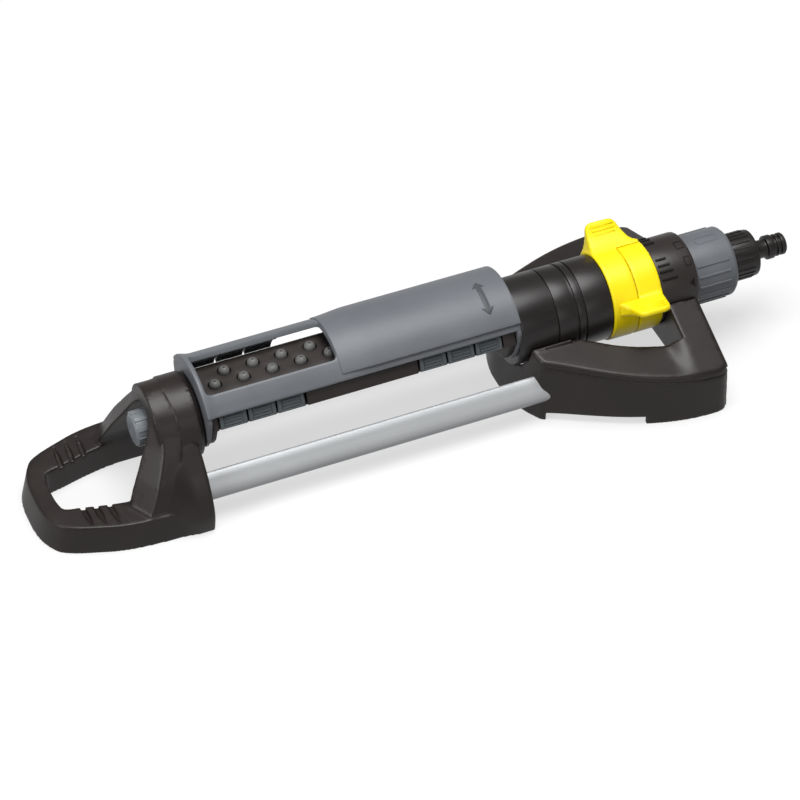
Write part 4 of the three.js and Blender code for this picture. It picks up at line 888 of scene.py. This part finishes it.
for name, strip, sign, offset in (("nozzles_front", "nozzle_strip_front", -1, 0),
                                  ("nozzles_back", "nozzle_strip_rear", 1, nozzle["stagger"])):
    unit = unitMesh(name + "Unit", *spun(nozzleProfile(), 28))
    row = repeated(name, unit, "nozzle_rubber", nozzle["count"], (nozzle["pitch"], 0, 0))
    moved(row, nozzle["firstX"] + offset, sign * nozzle["rowY"], plateTop)
    finishPiece(row, name, "oscillator", "nozzle_rubber", [strip])
print("nozzles: done")

# Each tab slides round the hood's lower edge and has a sunk panel with grip bars.
tab = {"length": 19.7, "inner": 33.35, "outer": 36.0, "from": 36, "to": 74, "border": 2.6,
       "panelFrom": 59.8, "panelTo": 72.2, "depth": 0.75, "slope": 0.7,
       "ribs": 3, "ribFrom": 61.8, "ribTurn": 3.9, "ribWidth": 1.5,
       "centres": {"left": -137.4, "right": 11.3}}


def tabTop(u, v):
    s = tab
    angle = np.abs(v) / hood["radius"] * 180 / math.pi
    radius = s["outer"] - np.clip((60 - angle) / 2, 0, 1) * 0.7
    inU = np.clip((s["length"] / 2 - s["border"] - np.abs(u)) / 0.5, 0, 1)
    inV = (np.clip((angle - s["panelFrom"]) / s["slope"], 0, 1)
           * np.clip((s["panelTo"] - angle) / s["slope"], 0, 1))
    return radius - s["depth"] * inU * inV


def tabRib():  # one grip bar, at the top of its turn
    s = tab
    low, high, half = s["outer"] - s["depth"] - 0.3, s["outer"] + 0.05, s["length"] / 2 - s["border"] - 0.7
    w = s["ribWidth"] / 2
    section = [(-w, low), (w, low), (w * 0.7, high - 0.1), (w * 0.4, high), (-w * 0.4, high),
               (-w * 0.7, high - 0.1)]
    return bar("tabRib", section, -half, half)


def tabGrid(sign):  # the curved slide, with a row of points wherever its face changes
    s = tab
    half = s["length"] / 2
    us = [-half, -half + 0.35, -half + 1.5, -half + s["border"], -half + s["border"] + 0.5]
    us += [-5, -2.5, 0, 2.5, 5] + [-u for u in reversed(us)]
    angles = [s["from"], 36.5, 38, 42, 46, 50, 54, 57, 58, 59, s["panelFrom"], s["panelFrom"] + s["slope"],
              62, 64, 66, 68, 70, s["panelTo"] - s["slope"], s["panelTo"], 73, 73.6, s["to"]]
    u, v = np.meshgrid(us, [sign * arc(a) for a in angles], indexing="ij")
    u, v = u.ravel(), v.ravel()
    edge = np.minimum(half - np.abs(u), np.minimum(np.abs(v) - arc(s["from"]), arc(s["to"]) - np.abs(v)))
    upper = bent(tabTop)(u, v, np.clip(0.4 - edge, 0, 0.4))
    lower = bent(sameRadius(s["inner"]))(u, v, 0)
    rows, columns = len(us), len(angles)
    faces = []
    for i in range(rows - 1):
        for j in range(columns - 1):
            a, d = i * columns + j, (i + 1) * columns + j
            corners = (a, a + 1, d + 1, d)
            faces += [corners, tuple(k + rows * columns for k in reversed(corners))]
    border = [i * columns for i in range(rows)] + [(rows - 1) * columns + j for j in range(1, columns)]
    border += [i * columns + columns - 1 for i in range(rows - 2, -1, -1)] + list(range(columns - 2, 0, -1))
    for k, a in enumerate(border):
        b = border[(k + 1) % len(border)]
        faces.append((a, b, b + rows * columns, a + rows * columns))
    return np.vstack([upper, lower]), faces


for group, first in tab["centres"].items():
    for k in range(3):
        for word, sign in (("front", -1), ("rear", 1)):
            name = f"tab_{word}_{group}_{k + 1}"
            centre = first + k * nozzle["pitch"]
            points, faces = tabGrid(sign)
            points[:, 0] += centre
            slide = outwards(meshOf(name + "Slide", points.tolist(), faces))
            ribs = repeated(name + "Ribs", tabRib(), "tab_plastic", tab["ribs"], (0, 0, 0),
                            -sign * tab["ribFrom"], -sign * tab["ribTurn"])
            moved(ribs, centre, 0, lay["axis"])
            finishPiece(joinedMesh(name + "Shape", [slide, ribs]), name + "_pad", name, "tab_plastic", [name])
print("tabs: done")

# the bed that fills the tray below the nozzles and closes their holes; its near-black tone is painted shade
# in the gaps round the nozzles
bed = slab("nozzleShadeBed", nozzle["bed"], nozzle["bedLeft"], nozzle["bedRight"], across)
finishPiece(bed, "nozzle_shade_bed", "oscillator", "seal_rubber")

# The spars are one extrusion, mirrored from side to side; its section is (outwards, height).
spar = {"y": 41.0, "left": -186.0, "right": 114.0,
        "outer": [(-4.6, 34.4), (-3.9, 35.2), (-2.6, 35.1), (-0.6, 34.0), (1.6, 32.3), (4.2, 29.2),
                  (6.3, 25.8), (7.3, 22.6), (7.0, 19.6), (5.4, 16.9), (2.6, 14.6), (-1.0, 13.2),
                  (-4.4, 12.9)],
        "inner": [(-5.5, 14.2), (-5.5, 33.2)]}


# a closed section carried up a straight line and capped at both ends
def sweepNodes(group, start):
    section = group.nodes.new("GeometryNodeMeshToCurve")
    top = group.nodes.new("ShaderNodeCombineXYZ")
    line = group.nodes.new("GeometryNodeCurvePrimitiveLine")
    body = group.nodes.new("GeometryNodeCurveToMesh")
    body.inputs["Fill Caps"].default_value = True
    return [
        (start.outputs["Section"], section.inputs[0]), (start.outputs["Length"], top.inputs["Z"]),
        (top.outputs[0], line.inputs["End"]), (line.outputs[0], body.inputs["Curve"]),
        (section.outputs[0], body.inputs["Profile Curve"]),
    ], body.outputs[0]


sweepGroup = nodeGroup("sweep", (("Section", "Geometry"), ("Length", "Float")), sweepNodes)


def swept(name, section, look, length):  # a section of (x, y) carried up by the length, in millimetres
    loop = bpy.data.meshes.new(name + "Section")
    count = len(section)
    loop.from_pydata([(x / 1000, y / 1000, 0) for x, y in section],
                     [(i, (i + 1) % count) for i in range(count)], [])
    return grown(name, loop, sweepGroup, look, {"Length": length / 1000})


for name, sign in (("front_spar", -1), ("rear_spar", 1)):
    section = [(sign * out, z) for out, z in smoothCurve(spar["outer"], 3) + spar["inner"]]
    body = swept(name + "Shape", section, "spar_aluminium", spar["right"] - spar["left"])
    # laid along x, with its section upright
    body.transform(Matrix(((0, 0, 1, 0), (1, 0, 0, 0), (0, 1, 0, 0), (0, 0, 0, 1))))
    body.transform(Matrix.Translation(place(spar["left"], sign * spar["y"], 0)))
    finishPiece(outwards(body), name + "_body", "root", "spar_aluminium", [name], 25)
print("spars: done")

# The barrel is the gear housing, with three grooves round it.
barrel = {"left": 78.6, "right": 152.0, "radius": 31.4, "bore": 28.9, "neck": 13.4,
          "spigot": 29.9, "spigotEnd": 157.0,
          "grooves": [(109.5, 1.0), (124.7, 2.2), (131.3, 1.2)], "depth": 1.2}


def barrelProfile():
    s = barrel
    points = [(s["left"], s["neck"], 0), (s["left"], s["radius"] - 1.0, 1.2),
              (s["left"] + 3.5, s["radius"], 4)]
    for x, width in s["grooves"]:
        low, high = x - width / 2, x + width / 2
        points += [(low, s["radius"], 0.3), (low + 0.1, s["radius"] - s["depth"], 0),
                   (high - 0.1, s["radius"] - s["depth"], 0), (high, s["radius"], 0.3)]
    points += [(s["right"], s["radius"], 0.5), (s["right"], s["spigot"], 0),
               (s["spigotEnd"], s["spigot"], 0.4), (s["spigotEnd"], s["bore"], 0),
               (s["left"] + 3, s["bore"], 0), (s["left"] + 3, s["neck"], 0)]
    return rounded([p[:2] for p in points], [p[2] for p in points])


barrelMesh = turned("barrel", barrelProfile(), 128)
finishPiece(barrelMesh, "barrel_body", "root", "barrel_plastic", ["barrel_shell"], 32)
print("barrel: done")

# The range rings are sleeves on the barrel, each with a lever. turn is where the lever stands, in degrees
# from the rear, and its outline is (x, distance from the axis).
rangeRing = {
    "radius": 32.75, "bore": 30.2, "clear": 33.2, "tip": 52.6, "step": 0.8, "tipHalf": 2.2,
    "back": {"room": ((150.6, -36, 22), (193, 44, 104)), "flare": 8.0, "left": 152.3, "right": 171.8,
             "turn": 55.0, "gripLeft": 159.5, "gripRight": 176.5,
             "outline": [(152.6, 31), (154.0, 38), (155.4, 48.5), (157.0, 51.2), (160, 52.4),
                         (172.5, 52.4), (176.4, 51.6), (179.0, 48.8), (181.5, 42.6), (184.5, 36.6),
                         (187, 34.4), (190, 33.3), (190, 31)]},
    "front": {"room": ((153.4, -55, 22), (193, 36, 94)), "flare": 3.2, "left": 172.2, "right": 190.8,
              "turn": 161.0, "gripLeft": 167.0, "gripRight": 186.0,
              "outline": [(155.5, 31), (156, 33.4), (158.5, 35.4), (161.5, 40.0), (163.4, 47), (165, 51),
                          (168.5, 52.4), (183.5, 52.4), (187.4, 51), (189, 47), (190.0, 38), (190.4, 31)]},
}


def leverHalf(part, along):  # half a lever's thickness at a distance from the axis
    s = rangeRing
    share = np.clip((s["tip"] - along) / (s["tip"] - s["radius"]), 0, 1.2)
    return s["tipHalf"] + part["flare"] * share ** 2.4


def rangeRingField(part):
    s = rangeRing

    def field(x, y, z):
        turn = math.radians(part["turn"])
        rise = z - lay["axis"]
        radius = np.hypot(y, rise)
        middle, half = (part["left"] + part["right"]) / 2, (part["right"] - part["left"]) / 2
        sleeve = roundAnd(radius - s["radius"], np.abs(x - middle) - half, 0.9)
        sleeve = roundAnd(sleeve, s["bore"] - radius, 0.3)
        along = y * math.cos(turn) + rise * math.sin(turn)
        aside = np.abs(rise * math.cos(turn) - y * math.sin(turn))
        side = planGrid((140, 24), (204, 60), 0.5)
        plan = lookUp(fromOutline(part["outline"], *side), side, x, along)
        lever = roundAnd(plan, (aside - leverHalf(part, along)) * 0.85, 1.5)
        lever = roundAnd(lever, s["clear"] - 2.2 - radius, 0.2)
        whole = roundOr(sleeve, lever, 1.6)
        beyond = np.maximum(radius - s["clear"], half + 0.05 - np.abs(x - middle))
        return np.maximum(np.maximum(whole, -beyond), s["bore"] - radius)

    return field


def ringSolid(name, part, low, high, step):
    xs, ys, zs = (np.arange(low[i], high[i] + step, step, dtype=np.float32) for i in range(3))
    values = rangeRingField(part)(xs[:, None, None], ys[None, :, None], zs[None, None, :])
    values = np.broadcast_to(values, (len(xs), len(ys), len(zs))).astype(np.float32)
    return solidFrom(name, values, (xs[0], ys[0], zs[0]), step)


# fine raised lines on each lever's outer face
grip = {"count": 3, "from": 43.0, "step": 3.0, "proud": 0.4, "width": 0.8}


def leverGrip(name, part, side):
    s = grip
    w, h = s["width"] / 2, s["proud"]
    section = [(-w, -h), (w, -h), (w, h * 0.5), (w * 0.4, h), (-w * 0.4, h), (-w, h * 0.5)]
    half = (part["gripRight"] - part["gripLeft"]) / 2
    steps = s["count"] - 1
    thick = float(leverHalf(part, s["from"]))
    slope = (thick - float(leverHalf(part, s["from"] + s["step"] * steps))) / steps
    turn = math.radians(part["turn"])
    out = Vector((math.cos(turn), math.sin(turn)))
    face = Vector((-math.sin(turn), math.cos(turn))) * side
    step = out * s["step"] - face * slope
    start = out * s["from"] + face * thick
    bars = repeated(name, bar("gripBar", section, -half, half), "yellow_plastic", s["count"],
                    (0, step.x, step.y), part["turn"] - (0 if side > 0 else 180))
    return moved(bars, (part["gripLeft"] + part["gripRight"]) / 2, start.x, lay["axis"] + start.y)


for word, side in (("back", 1), ("front", -1)):
    part = rangeRing[word]
    ring = ringSolid(word + "Ring", part, *part["room"], rangeRing["step"])
    ring = joinedMesh(word + "RingAll", [ring, leverGrip(word + "Grip", part, side)])
    owner = "range_ring_" + word
    finishPiece(ring, word + "_ring_body", owner, "yellow_plastic", [owner], None)
    print(word, "ring:", len(ring.polygons), "faces")


# a bar along x that stands on top of a round body, drawn about the axis
def axisBar(name, left, right, radius, width, proud):
    w, low, high, edge = width / 2, radius - 0.5, radius + proud, 0.25
    section = [(-w, low), (w, low), (w, high - edge), (w - edge, high), (edge - w, high), (-w, high - edge)]
    return bar(name, section, left, right)


def aroundAxis(name, unit, look, count, first, turn):  # copies turned about the tube's axis; 0 is the top
    return moved(repeated(name, unit, look, count, (0, 0, 0), -first, -turn), 0, 0, lay["axis"])


# The scale ring has ticks and a mark (left, right, degrees from the top), teeth, and two outlined squares
# that show how a lawn is covered (left, low, right, high).
scale = {
    "left": 191.5, "right": 221.4, "radius": 30.3, "wall": 2.0, "mouth": 14.9, "arbor": 1.8,
    "ticks": [(193.2, 202.3, -30.3), (193.2, 203.4, -39.0), (193.2, 205.2, -50.0), (193.2, 201.0, -21.0)],
    "tickWidth": 1.5, "tickProud": 1.1, "mark": -63.5,
    "teeth": 9, "toothFrom": 12, "toothTurn": 13.0, "toothLength": 8.5, "toothWidth": 2.4, "toothProud": 0.9,
    "squares": {"squareLarge": (212.0, -13.0, 218.6, 0.5), "squareSmall": (213.6, -40.0, 218.6, -26.0)},
    "line": 0.75, "lineProud": 0.28, "perDegree": 0.529, "bevelFrom": 217.1, "bevel": 2.6,
}


def scaleProfile():
    s = scale
    inside = s["radius"] - s["wall"]
    return rounded([(s["left"], s["arbor"]), (s["left"], s["radius"]), (s["right"], s["radius"]),
                    (s["right"], s["mouth"]), (s["right"] - 3, s["mouth"]), (s["right"] - 3, inside),
                    (s["left"] + 3.2, inside), (s["left"] + 3.2, s["arbor"])], [0, 0.5, 2.6, 0, 0, 0, 0, 0])


def pictogram(name, left, low, right, high):  # an outlined square on the scale ring
    s = scale

    def onRing(proud):
        def shape(u, v, drop):
            bevel = 0.6 * np.clip((u - s["bevelFrom"]) / s["bevel"], 0, 1) ** 2 * s["bevel"]
            r = s["radius"] + proud - drop - bevel
            angle = np.radians(v / s["perDegree"])
            return np.stack([u, r * np.sin(angle), lay["axis"] + r * np.cos(angle)], axis=1)
        return shape

    w, low, high = s["line"], low * s["perDegree"], high * s["perDegree"]
    outer = box(left, right, low, high, 0.4, 2)
    inner = box(left + w, right - w, low + w, high - w, 0.2, 2)
    return sheet(name, outer, [inner], onRing(s["lineProud"]), onRing(-0.5), soft=0.08, pitch=1.5, edge=0.8)


def scaleMarks():
    s = scale
    marks = []
    for k, (left, right, angle) in enumerate(s["ticks"]):
        tick = axisBar("tick", left, right, s["radius"], s["tickWidth"], s["tickProud"])
        marks.append(aroundAxis(f"scaleTick{k}", tick, "barrel_plastic", 1, angle, 0))
    tooth = axisBar("tooth", s["left"] + 0.3, s["left"] + s["toothLength"], s["radius"], s["toothWidth"],
                    s["toothProud"])
    marks.append(aroundAxis("scaleTeeth", tooth, "barrel_plastic", s["teeth"], s["toothFrom"],
                            s["toothTurn"]))
    wedge = unitMesh("mark", [(213.6, 0, 29.9), (217.8, 3.6, 29.3), (217.8, -3.6, 29.3), (213.9, 0, 30.75),
                              (217.5, 3.2, 30.5), (217.5, -3.2, 30.5)],
                     [(0, 2, 1), (3, 4, 5), (0, 1, 4, 3), (1, 2, 5, 4), (2, 0, 3, 5)])
    marks.append(aroundAxis("scaleMark", wedge, "barrel_plastic", 1, s["mark"], 0))
    marks += [pictogram(name, *corners) for name, corners in s["squares"].items()]
    return joinedMesh("scaleMarks", marks)


scaleMesh = turned("scaleRing", scaleProfile(), 112)
finishPiece(scaleMesh, "scale_ring_body", "root", "scale_plastic", ["scale_ring"], 32)
# one near-black finish for all the marks: print on the two squares, painted shade on the ticks, teeth and
# mark
finishPiece(scaleMarks(), "scale_marks", "root", "ink_and_painted_shade")
print("scale ring: done")

# The flow knob has shallow ridges and an outlined tongue in front.
knob = {
    "left": 222.2, "right": 255.4, "radius": 25.6, "wall": 2.4, "bore": 14.9, "shoulder": 2.5,
    "ridges": 16, "ridgeFrom": -46.0, "ridgeTurn": -17.9, "ridgeWidth": 1.6, "proud": 0.75,
    "tongue": [(229.5, -9.5), (229.5, 8.5), (247.5, 6.5), (247.5, -7.5)],  # x, and degrees from the top
    "tongueLine": 0.9, "tongueProud": 0.32,
}


def knobProfile():
    s = knob
    inside = s["radius"] - s["wall"]
    return rounded([(s["left"], inside), (s["left"], s["radius"]),
                    (s["right"] - s["shoulder"], s["radius"] + 0.1), (s["right"], s["radius"] - 2.4),
                    (s["right"], s["bore"]), (s["right"] - 4, s["bore"]), (s["right"] - 4, inside)],
                   [0, 0.8, 2.2, 1.2, 0, 0, 0])


def knobTongue():
    s = knob

    def onKnob(proud):
        def shape(u, v, drop):
            angle = v / s["radius"]
            r = s["radius"] + proud
            return np.stack([u, r * np.sin(angle), lay["axis"] + r * np.cos(angle)], axis=1)
        return shape

    perDegree = math.radians(1) * s["radius"]
    outline = rounded([(x, angle * perDegree) for x, angle in s["tongue"]], [3.4, 3.4, 0.8, 0.8])
    return sheet("knobTongue", outline, [inset(spaced(outline, 1.0), s["tongueLine"])],
                 onKnob(s["tongueProud"]), onKnob(-0.4), soft=0.1, pitch=2.0, edge=1.0)


ridge = axisBar("ridge", knob["left"] + 1.2, knob["right"] - 6.5, knob["radius"], knob["ridgeWidth"],
                knob["proud"])
ridges = aroundAxis("knobRidges", ridge, "grey_plastic", knob["ridges"], knob["ridgeFrom"], knob["ridgeTurn"])
knobMesh = joinedMesh("knob", [turned("knobBody", knobProfile(), 112), ridges, knobTongue()])
finishPiece(knobMesh, "flow_knob_body", "flow_knob", "grey_plastic", ["flow_knob"], 32)


# a turned body with ribs round it, as one piece
def ribbedPiece(name, profile, segments, rib, look, count, first):
    ribs = aroundAxis(name + "Ribs", rib, look, count, first, 360 / count)
    return joinedMesh(name, [turned(name + "Body", profile, segments), ribs])


# The hose connector is a ribbed nut with a neck, a flange and a nose with two rings.
nut = {"left": 257.0, "right": 276.8, "radius": 17.2, "bore": 13.4, "water": 4.0,
       "ribs": 24, "ribWidth": 1.9, "ribProud": 0.65, "neck": 6.6, "flange": 8.9, "flangeAt": (288.4, 293.6),
       "nose": 8.2, "noseRings": [(296.2, 297.8), (299.8, 302.4)], "end": 303.5}


def nutProfile():
    s = nut
    neck, nose = s["neck"], s["nose"]
    flangeLeft, flangeRight = s["flangeAt"]
    (ringLeft, ringRight), (tipLeft, tipRight) = s["noseRings"]
    points = [  # x, radius and how far the corner is rounded
        (s["left"], s["bore"], 0), (s["left"], s["radius"], 0.6), (s["right"], s["radius"], 1.4),
        (s["right"] + 3.6, s["radius"] - 8.6, 1.0), (s["right"] + 4.6, neck + 0.4, 1.4),
        (flangeLeft, neck, 0.8), (flangeLeft, s["flange"], 0.5), (flangeRight, s["flange"], 0.5),
        (flangeRight + 0.6, neck, 0.2), (ringLeft - 0.2, neck, 0.2), (ringLeft, nose, 0.4),
        (ringRight, nose, 0.4), (ringRight + 0.2, neck, 0.2), (tipLeft - 0.2, neck, 0.2),
        (tipLeft, nose, 0.4), (tipRight, nose, 0.4), (s["end"], nose - 1.0, 0.4),
        (s["end"], s["water"], 0.3), (s["right"] - 1.5, s["water"], 0), (s["right"] - 1.5, s["bore"], 0)]
    return rounded([p[:2] for p in points], [p[2] for p in points])


nutRib = axisBar("nutRib", nut["left"] + 1.0, nut["right"] - 4.0, nut["radius"], nut["ribWidth"],
                 nut["ribProud"])
connector = ribbedPiece("nut", nutProfile(), 96, nutRib, "barrel_plastic", nut["ribs"], 0)
finishPiece(connector, "hose_connector_body", "root", "barrel_plastic", ["hose_connector"], 32)
print("inlet end: done")

# The end plug is a ribbed head with a shank that goes into the tube.
plug = {"left": -200.0, "right": -186.5, "radius": 12.0, "shank": 10.6, "shankEnd": -175.5, "centre": 0.05,
        "ribs": 10, "ribFrom": 18, "ribWidth": 3.2, "ribProud": 0.65}


def plugProfile():
    s = plug
    return rounded([(s["left"], s["centre"]), (s["left"] - 0.9, 4.0), (s["left"] - 0.4, s["radius"] - 1.6),
                    (s["left"] + 1.2, s["radius"]), (s["right"], s["radius"]), (s["right"], s["shank"]),
                    (s["shankEnd"], s["shank"]), (s["shankEnd"], s["centre"])],
                   [0, 1.0, 0.8, 0.8, 0.3, 0, 0.4, 0])


plugRib = axisBar("plugRib", plug["left"] + 0.9, plug["right"] - 1.0, plug["radius"], plug["ribWidth"],
                  plug["ribProud"])
plugMesh = ribbedPiece("plug", plugProfile(), 64, plugRib, "connector_plastic", plug["ribs"], plug["ribFrom"])
finishPiece(plugMesh, "end_plug_body", "plug", "connector_plastic", ["end_plug"], 32)
print("end plug: done")

# The floor looks white to the camera and sends little light back up, so the undersides stay dark.
# Its reach is in metres, and world is the strength of the light from all round.
stage = {"floor": "#f7f7f7", "bounce": "#505050", "glow": 0.62, "reach": 6.0, "world": 0.26}


def stageFinish(name, tint, glow):
    finish = Finish(name)
    path = finish.node("ShaderNodeLightPath")
    seen = path.num("Is Camera Ray").math("MAXIMUM", path.num("Is Glossy Ray"))
    seen = seen.math("MAXIMUM", path.num("Is Transmission Ray"))
    shade = finish.mix(path.num("Is Camera Ray"), colour(stage["bounce"]), colour(tint))
    plain = finish.node("ShaderNodeBsdfDiffuse", None, {"Color": shade})
    white = finish.node("ShaderNodeEmission", None, {"Color": (1, 1, 1, 1), "Strength": 1.0})
    values = {0: seen * glow, 1: plain.out(), 2: white.out()}
    mixed = finish.node("ShaderNodeMixShader", None, values)
    finish.node("ShaderNodeOutputMaterial", None, {"Surface": mixed.out()})
    return finish.material


floorMesh = bpy.data.meshes.new("floor")
reach = stage["reach"]
floorMesh.from_pydata([(-reach, -reach, 0), (reach, -reach, 0), (reach, reach, 0), (-reach, reach, 0)], [],
                      [(0, 1, 2, 3)])
floor = bpy.data.objects.new("floor", floorMesh)
bpy.context.scene.collection.objects.link(floor)
floorMesh.materials.append(stageFinish("floor", stage["floor"], stage["glow"]))

world = bpy.data.worlds.new("studio")
bpy.context.scene.world = world
world.use_nodes = True
worldTree = world.node_tree
worldTree.nodes.clear()
background = worldTree.nodes.new("ShaderNodeBackground")
background.inputs["Color"].default_value = (1, 1, 1, 1)
background.inputs["Strength"].default_value = stage["world"]
worldOut = worldTree.nodes.new("ShaderNodeOutputWorld")
worldTree.links.new(background.outputs[0], worldOut.inputs[0])

lamps = {  # where each lamp hangs in metres, what it looks at, its size and its power
    "overhead": {"at": (0.1, 0.0, 1.6), "to": (0, 0, 0.05), "size": 1.2, "watts": 25.0},
    "left": {"at": (-1.7, -0.35, 0.8), "to": (0, 0, 0.05), "size": 0.8, "watts": 12.0},
    "front": {"at": (0.1, -1.7, 0.8), "to": (0, 0, 0.05), "size": 0.9, "watts": 3.0},
}
for name, lamp in lamps.items():
    light = bpy.data.lights.new(name, "AREA")
    light.shape = "DISK"
    light.size = lamp["size"]
    light.energy = lamp["watts"]
    hung = bpy.data.objects.new(name, light)
    hung.location = lamp["at"]
    hung.rotation_euler = (Vector(lamp["to"]) - Vector(lamp["at"])).to_track_quat("-Z", "Y").to_euler()
    bpy.context.scene.collection.objects.link(hung)

# the camera's place in metres, its turn and tilt in degrees, and its lens in millimetres
view = {"at": (-0.69255, -1.5967, 1.6425), "azimuth": -23.092, "elevation": 43.204,
        "lens": 150.2, "sensor": 36, "far": 20}
camera = bpy.data.objects.new("camera", bpy.data.cameras.new("camera"))
camera.data.lens = view["lens"]
camera.data.sensor_width = view["sensor"]
camera.location = view["at"]
camera.rotation_euler = (math.radians(90 - view["elevation"]), 0, math.radians(view["azimuth"]))
camera.data.clip_end = view["far"]
bpy.context.scene.collection.objects.link(camera)
bpy.context.scene.camera = camera
bpy.context.scene.view_settings.view_transform = "Standard"
print("studio: done")

# the frame's own nodes that no piece replaces, each in its own finish
nodeLooks = {
    "steel": ["spar_screw_", "cradle_screw_", "arbor_", "turbine_shaft", "toggle_spring"],
    "spar_aluminium": ["spray_tube"],
    "white_plastic": ["gear_", "output_gear", "drive_pinion", "turbine_wheel", "tube_bush", "inlet_filter",
                      "trip_carrier", "trip_sleeve", "valve_sleeve"],
    "seal_rubber": ["plug_seal", "tube_seal", "connector_washer"],
}
for name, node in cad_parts.items():
    look = next((k for k, starts in nodeLooks.items() if name.startswith(tuple(starts))), "barrel_plastic")
    node.data.materials.clear()
    node.data.materials.append(materials[look])
